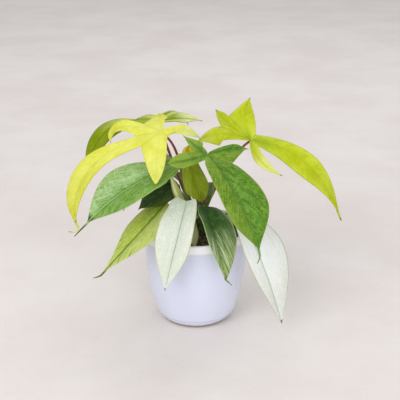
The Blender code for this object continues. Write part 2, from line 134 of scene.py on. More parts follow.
# %% A socket that can be used in sums
class Wire:
    """The output socket of a node, which adds Math nodes when it is used in a sum."""

    def __init__(self, finish, socket):
        self.finish = finish
        self.socket = socket

    def maths(self, operation, *others, first=None):
        values = [self, *others] if first is None else [first, self]
        return self.finish.node("ShaderNodeMath", {"operation": operation}, dict(enumerate(values)))

    def __add__(self, other):
        return self.maths("ADD", other)

    def __sub__(self, other):
        return self.maths("SUBTRACT", other)

    def __rsub__(self, other):
        return self.maths("SUBTRACT", first=other)

    def __mul__(self, other):
        return self.maths("MULTIPLY", other)

    def __truediv__(self, other):
        return self.maths("DIVIDE", other)

    __radd__ = __add__
    __rmul__ = __mul__

    def size(self):
        return self.maths("ABSOLUTE")

    def wave(self):
        """Sine of the value taken as turns, so 1 is one whole wave."""
        return (self * (2 * math.pi)).maths("SINE")

    def ramp(self, low, high):
        """0 below low and 1 above high, with a soft step between. low may be the larger."""
        limits = {"Value": self, "From Min": low, "From Max": high}
        return self.finish.node("ShaderNodeMapRange", {"interpolation_type": "SMOOTHSTEP"}, limits)


print("a wire can do:", [name for name in vars(Wire) if not name.startswith("_")])

# %% [markdown]
# ## Finishes
#
# Every surface here is one Principled shader. What stays the same all over the surface,
# such as the glow of light through a leaf, is set on the shader's own socket. What varies
# is fed by nodes to its colour, its roughness or a Bump. One method makes any node from
# its type, its settings and the values or wires of its sockets.

# %% A finish made of nodes
def srgb(red, green, blue):
    """A colour given on a 0 to 255 scale, as the linear values that shaders use."""
    def linear(value):
        share = value / 255
        return share / 12.92 if share <= 0.04045 else ((share + 0.055) / 1.055) ** 2.4
    return (linear(red), linear(green), linear(blue), 1.0)


class Finish:
    """A material under construction."""

    def __init__(self, name, **constants):
        self.material = bpy.data.materials.new(name)
        self.material.use_nodes = True
        self.tree = self.material.node_tree
        self.shader = self.tree.nodes["Principled BSDF"]
        for socket, value in constants.items():
            self.shader.inputs[socket.replace("_", " ")].default_value = value

    def node(self, kind, settings=None, inputs=None, output=0):
        made = self.tree.nodes.new(kind)
        for setting, value in (settings or {}).items():
            setattr(made, setting, value)
        for socket, value in (inputs or {}).items():
            self.join(made.inputs[socket], value)
        return Wire(self, made.outputs[output])

    def join(self, socket, value):
        if isinstance(value, Wire):
            self.tree.links.new(value.socket, socket)
        else:
            socket.default_value = value

    def place(self):
        """Where a point lies on the object, in metres."""
        return self.node("ShaderNodeTexCoord", output="Object")

    def parts(self, vector):
        """The three numbers of a vector."""
        split = self.tree.nodes.new("ShaderNodeSeparateXYZ")
        self.join(split.inputs[0], vector)
        return [Wire(self, output) for output in split.outputs]

    def vector(self, x, y, z):
        return self.node("ShaderNodeCombineXYZ", inputs={0: x, 1: y, 2: z})

    def chart(self, name):
        """The two numbers of one of the piece's UV maps."""
        return self.parts(self.node("ShaderNodeUVMap", {"uv_map": name}))[:2]

    def noise(self, vector, scale, detail=3.0, rough=0.6):
        """Soft seeded noise round 0.5."""
        inputs = {"Vector": vector, "Scale": scale, "Detail": detail, "Roughness": rough}
        return self.node("ShaderNodeTexNoise", inputs=inputs)

    def paint(self, ground, *layers):
        """A ground with layers over it, each how much of it shows, 0 to 1, and its colour.

        Colours are given from 0 to 255. A fourth number in one makes its whole layer weaker.
        """
        colour = srgb(*ground)
        for share, ink in layers:
            if len(ink) > 3:
                share = share * ink[3]
            inputs = {0: share, 6: colour, 7: srgb(*ink[:3])}
            colour = self.node("ShaderNodeMix", {"data_type": "RGBA"}, inputs, output=2)
        return colour

    def finished(self, colour, roughness, height, depth, strength):
        """The material, with a relief that is depth millimetres deep."""
        inputs = {"Height": height, "Distance": depth * MM, "Strength": strength}
        bump = self.node("ShaderNodeBump", inputs=inputs)
        for name, value in (("Base Color", colour), ("Roughness", roughness), ("Normal", bump)):
            self.join(self.shader.inputs[name], value)
        return self.material


print("red of a lime leaf on the shader's scale:", round(srgb(226, 230, 80)[0], 3))

# %% [markdown]
# ## A grid as a map
#
# A leaf lobe, a stalk and a rolled leaf are all sheets that bend through space. Each
# starts as Blender's flat grid, and the grid is used as a map: how far a point lies across
# it and along it says where on the piece it goes. The same two numbers are kept as a UV
# map, so a finish can draw veins that follow the piece however it bends.

# %% Helpers that place a grid's points
WELD = 0.01  # points nearer to each other than this become one


def pick(*items):
    """Select these objects and nothing else, with the first one active."""
    bpy.ops.object.select_all(action="DESELECT")
    for item in items:
        item.select_set(True)
    if items:
        bpy.context.view_layer.objects.active = items[0]


def name_active(name):
    """Name the object that was just made."""
    item = bpy.context.object
    item.name = name
    item.data.name = name
    return item


def add_grid(name, columns, rows, size=1.0):
    """A flat grid that lies on the ground."""
    pick()
    bpy.ops.mesh.primitive_grid_add(x_subdivisions=columns, y_subdivisions=rows, size=size)
    return name_active(name)


def one_chart(across, along):
    return {"share": (across, along)}


def carry(item, place, charts=one_chart):
    """Carry each point of a grid to place(across, along) and keep its charts.

    across runs from -1 to 1 and along from 0 to 1. charts(across, along) gives the name
    of each UV map and its two numbers there.
    """
    mesh = item.data
    shares = [(2 * point.co.x, point.co.y + 0.5) for point in mesh.vertices]
    charted = [charts(*share) for share in shares]
    mesh.uv_layers.remove(mesh.uv_layers[0])
    for name in charted[0]:
        layer = mesh.uv_layers.new(name=name)
        for loop in mesh.loops:
            layer.data[loop.index].uv = charted[loop.vertex_index][name]
    for point, share in zip(mesh.vertices, shares):
        point.co = place(*share) * MM


def join_pieces(name, items):
    """Join several objects into one."""
    pick(*items)
    if len(items) > 1:
        bpy.ops.object.join()
    return name_active(name)


def edit(item, *steps):
    """Run edit mode steps on all of an object's mesh."""
    pick(item)
    bpy.ops.object.mode_set(mode="EDIT")
    bpy.ops.mesh.select_all(action="SELECT")
    for step in steps:
        step()
    bpy.ops.object.mode_set(mode="OBJECT")


def weld():
    bpy.ops.mesh.remove_doubles(threshold=WELD * MM)


def face_outwards():
    bpy.ops.mesh.normals_make_consistent(inside=False)


def close_ends():
    """Close the open ends of a tube."""
    bpy.ops.mesh.select_all(action="DESELECT")
    bpy.ops.mesh.select_non_manifold(extend=False)
    bpy.ops.mesh.edge_face_add()
    bpy.ops.mesh.select_all(action="SELECT")


def thicken(item, thickness, offset):
    """Give a sheet its thickness: half on each side for offset 0, all inside for -1."""
    modifier = item.modifiers.new("Thickness", "SOLIDIFY")
    modifier.thickness = thickness * MM
    modifier.offset = offset
    pick(item)
    bpy.ops.object.modifier_apply(modifier=modifier.name)


def smooth(item, angle):
    """Shade smoothly across edges that bend by less than angle degrees."""
    pick(item)
    bpy.ops.object.shade_smooth_by_angle(angle=math.radians(angle))


def hand_in(item, slot, nodes, material):
    """Give a finished piece its material and its place in the frame."""
    item.data.materials.clear()
    item.data.materials.append(material)
    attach(item, BODY)
    if nodes:
        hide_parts(*nodes)
    triangles = sum(len(face.vertices) - 2 for face in item.data.polygons)
    print(item.name, "has", triangles, "triangles")


# %% A tube along a line of points
CHANNEL_ANGLE = 0.6  # half the angle that a stalk's channel takes, in radians


def carried_frames(points, side):
    """The way on at each point of a line, and a side that is carried along untwisted."""
    frames = []
    for number in range(len(points)):
        before = points[max(0, number - 1)]
        after = points[min(len(points) - 1, number + 1)]
        way = (after - before).normalized()
        side = (side - side.dot(way) * way).normalized()
        frames.append((way, side))
    return frames


def spoke(frame, turn):
    """The direction straight out of the line, at a turn from the carried side."""
    way, side = frame
    return side * math.cos(turn) + way.cross(side) * math.sin(turn)


def make_tube(name, points, radii, sides, charts=one_chart, hollow=0.0, face=None):
    """A closed tube along points. hollow is the depth of a channel on the side of face."""
    if face is None:
        face = (points[1] - points[0]).normalized().orthogonal()
    frames = carried_frames(points, face)
    last = len(points) - 1

    def place(across, along):
        number = round(along * last)
        turn = math.pi * across
        channel = 1 - hollow * math.exp(-(turn / CHANNEL_ANGLE) ** 2)
        return points[number] + spoke(frames[number], turn) * radii[number] * channel

    item = add_grid(name, sides, last)
    carry(item, place, charts)
    edit(item, weld, close_ends, face_outwards)
    return item


print("a channel is", round(2 * math.degrees(CHANNEL_ANGLE)), "degrees wide")

# %% [markdown]
# ## The leaf's shape
#
# The plant is a hybrid whose blades are cut into fingers. Each finger, or lobe, has a
# midrib that leaves the hub and arches over, so a parabola through the hub, a middle point
# and the tip is enough to describe it. The blade's width grows from the cut between two
# lobes to its widest place and then tapers to a drawn-out point. These are the same
# numbers as in the plain model, so the fine leaf lies exactly where the plain one does.

# %% Leaf numbers
@dataclass
class Lobe:
    """One finger of a blade. Its rib runs from the hub through middle to tip."""

    middle: tuple
    tip: tuple
    half: float  # half its width at the widest place
    cut: float = 14.0  # from the hub to the corner between this lobe and the next
    lean: float = 0.5  # where that corner lies: 0 is on this rib and 1 on the next
    widest: float = 0.45  # share of the rib at which the lobe is widest
    point: float = 1.6  # a larger number draws the point out more
    neck: float = 1.0  # a larger number keeps the lobe narrow for longer near the hub
    roll: float = 0.0  # degrees by which it has turned about its rib at the tip
    fold: float = 8.0  # degrees by which both halves are raised
    ripple: float = 0.6  # height of the margin's wave
    skew: float = 0.0  # share by which the left half is wider, and the right narrower
    settle: float = 0.9  # share of the rib at which a margin has left its cut's corner
    pale: float = 0.0  # how far the outer part fades to the leaf's pale colour
    tail: tuple = ()  # points beyond the tip that the thread-like end runs through


@dataclass
class Leaf:
    """A blade, its lobes in order anticlockwise as seen from its face, and its stalk."""

    name: str
    hub: tuple  # where the ribs meet
    lobes: list
    slot: str
    root: tuple  # where the stalk leaves the stem: degrees round it from +X, and height
    facing: tuple = None  # where the face looks at the hub, if the ribs don't tell it
    ear: float = 0.6  # how wide an outer half starts, as a share of its widest place
    heart: float = 2.0  # how far its outer margins curve back beside the hub
    reach: tuple = (30.0, 16.0)  # how far the stalk's two ends keep their direction
    stalk_slot: str = "stalk_green"
    arrive: tuple = None  # where the stalk comes from, if not from straight below
    groove: float = 0.45  # depth of the groove over the midrib


LEAVES = [
    Leaf("lime_left", (-39, -18, 243), [
        Lobe((-41, 6, 248), (-43, 27, 251), 10, cut=30, lean=0.7, point=1.2),
        Lobe((-86, -4, 244), (-98, -10, 226), 9, cut=30, lean=0.8, widest=0.4, point=1.2,
             settle=0.5),
        Lobe((-119, -36, 206), (-137, -54, 143), 19.5, cut=34, lean=0.35, widest=0.62,
             point=1.0, neck=1.6, roll=20, settle=0.5,
             tail=((-134, -55, 139), (-134, -57, 136), (-139, -57, 134), (-146, -55, 134))),
        Lobe((-43, -46, 220), (-44, -62, 194), 13, cut=17, widest=0.35, point=1.0, pale=0.3),
        Lobe((-15, -13, 243), (5, -6, 231), 6.5, widest=0.5, point=1.2, roll=25, pale=0.9),
    ], "leaf_lime", (200, 146), stalk_slot="stalk_red", arrive=(0.9, 0.0, -0.5), reach=(30, 30),
        groove=0.12),
    Leaf("olive_back", (-45, 35, 239), [
        Lobe((-16, 48, 238), (8, 46, 236), 10, cut=18, pale=0.9),
        Lobe((-25, 62, 243), (-9, 66, 225), 8, cut=18, point=2.0, pale=0.7),
        Lobe((-69, 72, 230), (-87, 96, 209), 9, cut=34),
        Lobe((-101, 30, 232), (-130, 16, 184), 20, widest=0.55, point=1.0, roll=15),
    ], "leaf_olive", (150, 138), facing=(-0.25, -0.5, 0.83), stalk_slot="stalk_red",
        arrive=(0.35, -0.3, -0.9)),
    Leaf("green_left", (-20, -28, 206), [
        Lobe((-42, 0, 198), (-63, 18, 178), 12, cut=20),
        Lobe((-78.5, -53.5, 184.5), (-123, -67, 149), 29.5, point=1.5, widest=0.5, neck=0.7,
             fold=20, skew=-0.03, tail=((-128, -69, 144), (-133, -70, 139), (-137, -71, 135))),
    ], "leaf_green", (228, 134), facing=(-0.3, -0.66, 0.68), ear=0.55, heart=3),
    Leaf("lime_right", (65, 5, 225), [
        Lobe((75, -8, 205), (101, -22, 190), 6, cut=14, widest=0.5, point=1.4, pale=0.9),
        Lobe((129, -10, 202), (169, -28, 142), 16.5, cut=16, widest=0.48, point=1.6, skew=-0.1,
             tail=((170, -29, 139), (171, -30, 137))),
        Lobe((59, 20, 249), (65, 42, 266), 13.5, cut=42, lean=0.8, widest=0.35, point=1.4),
        Lobe((41, 18, 240), (24, 36, 253), 12, cut=42, widest=0.4, point=1.3),
        Lobe((31, -5, 236), (0, -16, 228), 14, widest=0.5, roll=-45, pale=0.35),
    ], "leaf_yellow_green", (5, 144), stalk_slot="stalk_red", arrive=(-0.9, 0.1, -0.35),
        groove=0.12),
    Leaf("green_right", (13, -40, 222), [
        Lobe((2, -37, 230), (-14, -28, 241), 8, cut=10, widest=0.45, pale=0.6),
        Lobe((-8, -50, 219), (-31, -58, 218), 9.5, cut=13, widest=0.6, point=1.1, roll=-15,
             pale=0.6),
        Lobe((46, -78, 187), (71, -97, 129), 25, cut=38, widest=0.64, point=1.4, neck=0.55,
             skew=0.165, settle=0.6, tail=((72, -98, 124), (71, -99, 119), (69, -100, 115))),
        Lobe((37, -32, 225), (61, -22, 223), 11, widest=0.4, pale=0.8),
    ], "leaf_green", (316, 136), arrive=(0.7, 0.3, -0.7), reach=(26, 26)),
    Leaf("olive_low", (-34, -27, 158), [
        Lobe((-71.5, -51, 122.5), (-109, -70, 86), 25, point=2.0, widest=0.38, fold=4, skew=0.1,
             tail=((-113, -71, 84), (-118, -72, 83))),
    ], "leaf_olive", (222, 114), facing=(-0.5, -0.45, 0.75), ear=0.95, heart=7),
    Leaf("white_front", (-10, -44, 167), [
        Lobe((-21, -69, 129), (-35, -82, 72), 22, widest=0.5, fold=18, roll=-18, point=1.3,
             skew=-0.12),
    ], "leaf_pale", (258, 113), facing=(-0.3, -0.78, 0.52), ear=0.8, heart=9),
    Leaf("dark_front", (10, -34, 157), [
        Lobe((22, -64, 131), (35, -82, 86), 21.5, widest=0.48, fold=14, roll=-10, point=0.9,
             skew=0.3, tail=((38, -83, 83), (40, -83, 81), (42, -84, 80))),
    ], "leaf_dark", (300, 118), facing=(0.5, -0.7, 0.5), ear=0.85, heart=4),
    Leaf("white_right", (47, -28, 150), [
        Lobe((76, -57, 99), (101, -75, 26), 27, widest=0.45, point=1.1, skew=0.26),
    ], "leaf_pale", (330, 112), facing=(0.45, -0.7, 0.55), ear=0.6, heart=4),
    Leaf("young_olive", (-8, -16, 224), [
        Lobe((-3, -28, 194), (10, -33, 163), 14, widest=0.7, point=1.1, neck=2.2),
    ], "leaf_olive", (262, 144), facing=(0.0, -0.85, 0.5), ear=0.6, stalk_slot="stalk_red"),
    Leaf("small_pale", (-3, -43, 141), [
        Lobe((-2, -47, 127), (-1, -50, 110), 5.5, widest=0.5, point=1.3),
    ], "leaf_pale", (288, 132), facing=(0.3, -0.9, 0.2), ear=0.7, reach=(12, 10),
        arrive=(0.35, 0.9, -0.2)),
    Leaf("dark_low", (-20, -9, 174), [
        Lobe((-45, -19, 164), (-67, -30, 151), 17),
    ], "leaf_dark", (214, 124), facing=(-0.1, -0.6, 0.8), ear=0.8),
    Leaf("back_left", (-30, 34, 172), [
        Lobe((-20, 62, 160), (-16, 84, 138), 11, cut=22),
        Lobe((-64, 66, 152), (-94, 82, 104), 22, cut=22, point=1.8),
        Lobe((-56, 34, 162), (-78, 30, 146), 10),
    ], "leaf_green", (128, 128)),
    Leaf("back_right", (32, 34, 172), [
        Lobe((52, 28, 162), (70, 22, 148), 10, cut=20),
        Lobe((60, 68, 152), (78, 100, 102), 22, cut=22, point=1.8),
        Lobe((28, 62, 162), (26, 84, 142), 10),
    ], "leaf_green", (48, 128)),
    Leaf("back_middle", (2, 34, 152), [
        Lobe((4, 80, 136), (6, 114, 84), 20, point=1.8),
    ], "leaf_dark", (88, 118), facing=(0.0, 0.35, 0.95), ear=0.7, heart=5),
]
print(len(LEAVES), "leaves with", sum(len(leaf.lobes) for leaf in LEAVES), "lobes in all")

# %% The midrib of a lobe
SEARCH_STEPS = 240
STRAIGHT = 1e-4  # a rib that bends by less has no hinge of its own


def bow(start, bend, end, share):
    """A point of the parabola that leaves start towards bend and comes from it to end."""
    rest = 1 - share
    return rest * rest * start + 2 * rest * share * bend + share * share * end


class Rib:
    """A parabola with a frame that turns with it and no more."""

    def __init__(self, leaf, lobe, facing):
        self.lobe = lobe
        self.start = Vector(leaf.hub)
        self.end = Vector(lobe.tip)
        self.bend = 2 * Vector(lobe.middle) - (self.start + self.end) / 2
        first = (self.bend - self.start).normalized()
        last = (self.end - self.bend).normalized()
        face = (facing - facing.dot(first) * first).normalized()
        self.hinge = first.cross(last)
        if self.hinge.length < STRAIGHT:
            self.hinge = face
        self.hinge.normalize()
        self.along_hinge = face.dot(self.hinge)
        self.off_hinge = face.dot(self.hinge.cross(first))

    def point(self, share):
        return bow(self.start, self.bend, self.end, share)

    def tangent(self, share):
        slope = (1 - share) * (self.bend - self.start) + share * (self.end - self.bend)
        return slope.normalized()

    def frame(self, share):
        """The leftward and upward directions of the blade at a share of the rib."""
        tangent = self.tangent(share)
        up = self.along_hinge * self.hinge + self.off_hinge * self.hinge.cross(tangent)
        left = up.cross(tangent)
        turn = math.radians(self.lobe.roll) * share
        return (left * math.cos(turn) + up * math.sin(turn),
                up * math.cos(turn) - left * math.sin(turn))

    def share_at(self, distance):
        """The share at which the rib is this far from the hub, or half of a shorter rib."""
        for step in range(SEARCH_STEPS + 1):
            share = step / SEARCH_STEPS
            if (self.point(share) - self.start).length >= distance:
                return share
        return 0.5

    def length(self):
        """About how long the rib is."""
        return (self.bend - self.start).length / 2 + (self.end - self.bend).length / 2


def blade_facing(leaf):
    """Which way the blade's face looks at its hub."""
    if leaf.facing is not None:
        return Vector(leaf.facing).normalized()
    hub = Vector(leaf.hub)
    arms = [(Vector(lobe.middle) - hub).normalized() for lobe in leaf.lobes]
    total = Vector((0, 0, 0))
    for first, second in zip(arms, arms[1:]):
        total += first.cross(second)
    return total.normalized()


def blade_ribs(leaf):
    facing = blade_facing(leaf)
    return [Rib(leaf, lobe, facing) for lobe in leaf.lobes]


rib_lengths = [rib.length() for leaf in LEAVES for rib in blade_ribs(leaf)]
print("ribs are", round(min(rib_lengths)), "to", round(max(rib_lengths)), "mm long")

# %% The margin of a lobe
THREAD_WIDTH = 0.55  # half the width of the drawn-out point, in millimetres
FOLD_FULL = 0.3  # share of the rib at which the fold has reached its angle
RIPPLE_RATE = 11  # radians of the margin's wave in the rib's length
RIPPLE_SHIFT = 2  # and how far the left wave is ahead of the middle, and the right behind
RIPPLE_WIDTH = 8.0  # the wave fades where half the blade is narrower than this


def half_width(lobe, half, share, start, base):
    """Half the blade's width: from base at start, to the widest place, to the tip."""
    if share < lobe.widest:
        rise = math.sin(math.pi / 2 * max(0.0, share - start) / (lobe.widest - start))
        return base + (half - base) * rise ** lobe.neck
    rest = (share - lobe.widest) / (1 - lobe.widest)
    taper = half * (1 - rest) ** lobe.point * (1 + lobe.point * rest)
    return taper + THREAD_WIDTH * rest * (1 - rest ** 6)


def skewed(lobe, hand):
    """Half the width of a lobe at its widest place, on one side of its rib."""
    return lobe.half * (1 + lobe.skew * hand)


class Side:
    """One margin of a lobe, on its left (+1) or right (-1)."""

    def __init__(self, rib, hand, start, corner, base):
        self.rib = rib
        self.hand = hand
        self.start = start
        self.corner = corner
        self.base = base
        self.drift = Vector((0, 0, 0))
        if corner is not None:
            self.drift = corner - self.free_point(start)

    def outward(self, share):
        """The direction from the rib to the margin, raised by the blade's fold."""
        left, up = self.rib.frame(share)
        rise = math.radians(self.rib.lobe.fold) * min(1.0, share / FOLD_FULL)
        return left * self.hand * math.cos(rise) + up * math.sin(rise)

    def free_point(self, share):
        lobe = self.rib.lobe
        width = half_width(lobe, skewed(lobe, self.hand), share, self.start, self.base)
        wave = math.sin(RIPPLE_RATE * share + RIPPLE_SHIFT * self.hand)
        lift = lobe.ripple * wave * min(1.0, width / RIPPLE_WIDTH)
        return self.rib.point(share) + self.outward(share) * width + self.rib.frame(share)[1] * lift

    def point(self, share):
        """The margin, which leaves the corner of its cut and settles to its free course."""
        fade = max(0.0, 1 - (share - self.start) / (self.rib.lobe.settle - self.start))
        return self.free_point(share) + self.drift * fade * fade


widest = max(lobe.half for leaf in LEAVES for lobe in leaf.lobes)
print("the widest lobe is", round(2 * widest), "mm wide")

# %% [markdown]
# ## The blade's relief
#
# A real blade is not a smooth sheet. The midrib lies in a groove on the face, the tissue
# swells a little between one side vein and the next, and the thin margin waves. All three
# fade out where two lobes share a line, so that the lobes still meet there. Columns of the
# grid lie closer near the rib, where the groove needs them.

# %% The grid of a lobe
HALF_COLUMNS = 12
COLUMN_CROWDING = 1.35
HUB_ROWS = 8  # from the hub to where the margins are free
LONG_ROWS = 64
SHORT_ROWS = 36
LONG_LOBE = 80.0
OUTER_START = 0.14  # share of the rib at which a lobe without a cut has free margins
BULGE = 0.07  # how high each half is domed, as a share of its width
GROOVE_WIDTH = 1.3
VEIN_SPACING = 5.5
VEIN_SLANT = 0.75
SWELL_DEPTH = 0.09
SWELL_FROM = 4.0  # distance from the rib at which the swelling is at its full depth
FRILL_DEPTH = 0.7
FRILL_FROM = 6.0  # and the same for the frill
FRILL_WAVE = 23.0  # from crest to crest along the margin
HUB_SEED = 0.37  # this and the next keep one lobe's frill from repeating another's
LOBE_SEED = 5.1
NARROW = 5.0  # the relief fades where half the blade is narrower than this
TONE_RISE = 0.35  # share of the rib over which a lobe turns pale


def relief(groove, off, far, across, free, seed):
    """How far the surface stands above the plain sheet."""
    dip = -groove * math.exp(-(off / GROOVE_WIDTH) ** 2)
    phase = (far - VEIN_SLANT * abs(off)) / VEIN_SPACING
    swell = SWELL_DEPTH * math.sin(2 * math.pi * phase) * min(1.0, abs(off) / SWELL_FROM)
    body = (dip + swell) * (1 - across ** 4)
    if not free:
        return body
    sway = noise.noise(Vector((far / FRILL_WAVE, seed, math.copysign(2.0, across))))
    return body + FRILL_DEPTH * 2 * sway * across ** 2 * min(1.0, abs(off) / FRILL_FROM)


class LobeSheet:
    """Places the points of one lobe's grid, and says what its charts hold there."""

    def __init__(self, leaf, ribs, corners, number):
        self.leaf = leaf
        self.hub = Vector(leaf.hub)
        self.rib = ribs[number]
        self.lobe = self.rib.lobe
        self.seed = sum(leaf.hub) * HUB_SEED + LOBE_SEED * number
        self.length = self.rib.length()
        self.rows = LONG_ROWS if self.length > LONG_LOBE else SHORT_ROWS
        cuts = {}
        if number < len(ribs) - 1:
            cuts[1] = (self.lobe.cut, corners[number])
        if number > 0:
            cuts[-1] = (ribs[number - 1].lobe.cut, corners[number - 1])
        self.start = OUTER_START
        if cuts:
            self.start = self.rib.share_at(sum(cut[0] for cut in cuts.values()) / len(cuts))
        self.sides = {hand: self.side(hand, *cuts.get(hand, ())) for hand in (1, -1)}

    def side(self, hand, cut=None, corner=None):
        if cut is None:
            base = self.leaf.ear * skewed(self.lobe, hand)
            return Side(self.rib, hand, self.start, None, base)
        share = self.rib.share_at(cut)
        return Side(self.rib, hand, share, corner, (corner - self.rib.point(share)).length)

    def onward(self, start, row):
        """The share at a row beyond the hub's rows, which end at the share start."""
        return start + (1 - start) * (row - HUB_ROWS) / (self.rows - HUB_ROWS)

    def margin(self, row, side):
        """The margin's point at a row, or the line that two lobes share."""
        if row >= HUB_ROWS:
            return side.point(self.onward(side.start, row))
        part = row / HUB_ROWS
        if side.corner is not None:
            return self.hub + (side.corner - self.hub) * part
        share = self.start * part
        back = self.leaf.heart * 4 * part * (1 - part)
        out = side.outward(share) * side.base * math.sqrt(part)
        return self.rib.point(share) + out - self.rib.tangent(share) * back

    def read(self, across, along):
        """A grid point's row, its share of the rib, how far across it lies, and its side."""
        row = round(along * self.rows)
        share = self.onward(self.start, row) if row > HUB_ROWS else self.start * row / HUB_ROWS
        across = math.copysign(abs(across) ** COLUMN_CROWDING, across)
        return row, share, across, self.sides[1 if across > 0 else -1]

    def place(self, across, along):
        row, share, across, side = self.read(across, along)
        middle = self.rib.point(share)
        if row == self.rows:
            return middle
        outwards = self.margin(row, side) - middle
        width = outwards.length
        puff = BULGE * width * 4 * abs(across) * (1 - abs(across))
        free = row > HUB_ROWS or side.corner is None
        far = share * self.length
        rise = relief(self.leaf.groove, across * width, far, across, free, self.seed)
        fade = min(1.0, width / NARROW) * min(1.0, row / HUB_ROWS)
        return middle + outwards * abs(across) + self.rib.frame(share)[1] * (puff + rise * fade)

    def charts(self, across, along):
        """Shares, distances from the rib and along it, and the fading to pale."""
        row, share, across, side = self.read(across, along)
        width = (self.margin(row, side) - self.rib.point(share)).length
        rise = min(1.0, max(0.0, (share - self.start) / TONE_RISE))
        return {
            "share": (across, share),
            "size": (across * width, share * self.length),
            "tone": (self.lobe.pale * rise * rise * (3 - 2 * rise), 0.0),
        }


print("a long lobe's grid has", 2 * HALF_COLUMNS * LONG_ROWS, "faces")

# %% The midrib's ridge
RIB_RADIUS = 1.0
RIB_END_RADIUS = 0.38
RIB_SUNK = 0.5  # how far its middle lies below the groove, as a share of its radius
RIB_STEPS = 30
RIB_SIDES = 8
TAIL_FOOT_RADIUS = 1.2
TAIL_RADIUS = 0.4


def make_rib(leaf, rib):
    """The midrib's ridge below the blade, which runs on past the tip as a thread."""
    points = []
    radii = []
    tail = rib.lobe.tail
    end = TAIL_FOOT_RADIUS if tail else RIB_END_RADIUS
    for step in range(RIB_STEPS + 1):
        share = step / RIB_STEPS
        radius = end + (RIB_RADIUS - end) * (1 - share)
        up = rib.frame(share)[1]
        points.append(rib.point(share) - up * (leaf.groove * (1 - share) + radius * RIB_SUNK))
        radii.append(radius)
    for step, place in enumerate(tail):
        points.append(Vector(place))
        radii.append(end + (TAIL_RADIUS - end) * (step + 1) / len(tail))
    length = rib.length()

    def charts(_, along):
        return {"share": (0.0, along), "size": (0.0, along * length), "tone": (0.0, 0.0)}

    return make_tube(leaf.name + "_rib", points, radii, RIB_SIDES, charts)


print("a ridge is", 2 * RIB_RADIUS, "mm thick at the hub")

# %% Making a blade
BLADE_THICKNESS = 0.55


def make_blade(leaf):
    """Lobes from carried grids, joined on their shared lines and given a thickness."""
    ribs = blade_ribs(leaf)
    corners = []
    for first, second in zip(ribs, ribs[1:]):
        near = first.point(first.share_at(first.lobe.cut))
        far = second.point(second.share_at(first.lobe.cut))
        corners.append(near.lerp(far, first.lobe.lean))
    lobes = []
    for number in range(len(ribs)):
        sheet = LobeSheet(leaf, ribs, corners, number)
        grid = add_grid(leaf.name + "_lobe", 2 * HALF_COLUMNS, sheet.rows)
        carry(grid, sheet.place, sheet.charts)
        lobes.append(grid)
    blade = join_pieces(leaf.name, lobes)
    edit(blade, weld)
    thicken(blade, BLADE_THICKNESS, 0.0)
    whole = join_pieces(leaf.name, [blade] + [make_rib(leaf, rib) for rib in ribs])
    smooth(whole, 50.0)
    return whole


print("a blade is", BLADE_THICKNESS, "mm thick")

# %% [markdown]
# ## How a leaf is coloured
#
# The plant is variegated: some leaves are lime, some green, some nearly white. In all of
# them the same things change the colour. It shifts from the hub to the tips, some lobes
# end paler than others, one half may be yellower, pale flecks and streaks follow the side
# veins, the midrib shows as a thin light line with painted shade beside it, and a fine
# line runs round the margin. So one function makes every leaf's finish, and a palette for
# each leaf says how strong each of these is.

# %% Leaf palettes
@dataclass
class Palette:
    """Colours, 0 to 255. The first four are given in their order.

    A colour's fourth number says how strongly its mark shows, 0 to 1. What ends in
    from or to is a share of the rib's length.
    """

    body: tuple
    tips: tuple
    heart: tuple  # round the hub
    pale: tuple  # at the end of a lobe that turns pale
    deep: tuple  # darker clouds, and the shade beside the rib
    fleck: tuple
    streak: tuple = (200, 215, 150, 0.2)
    rib: tuple = (170, 195, 110, 0.6)
    shade: float = 0.35  # how strong the shade beside the rib is
    veins: float = 0.15  # how strongly the side veins show
    margin: tuple = (150, 160, 40, 0.2)
    edge: tuple = (90, 110, 40, 0.4)
    half: tuple = (150, 170, 60, 0.0)  # one half of the blade, where it differs
    half_side: int = -1  # 1 is the left half and -1 the right one
    half_to: float = 2.0
    end: tuple = (70, 60, 30)
    end_from: float = 0.97
    tips_from: float = 0.35
    streak_from: float = 0.0
    fleck_side: float = 0.0  # how much thicker flecks lie on the left half
    cloudy: float = 0.25  # 1 gives wide clouds, and 0 fine streaks and grains
    slant: float = 1.3  # how far a side vein runs back for its way out
    rough: float = 0.46
    gloss: float = 0.16


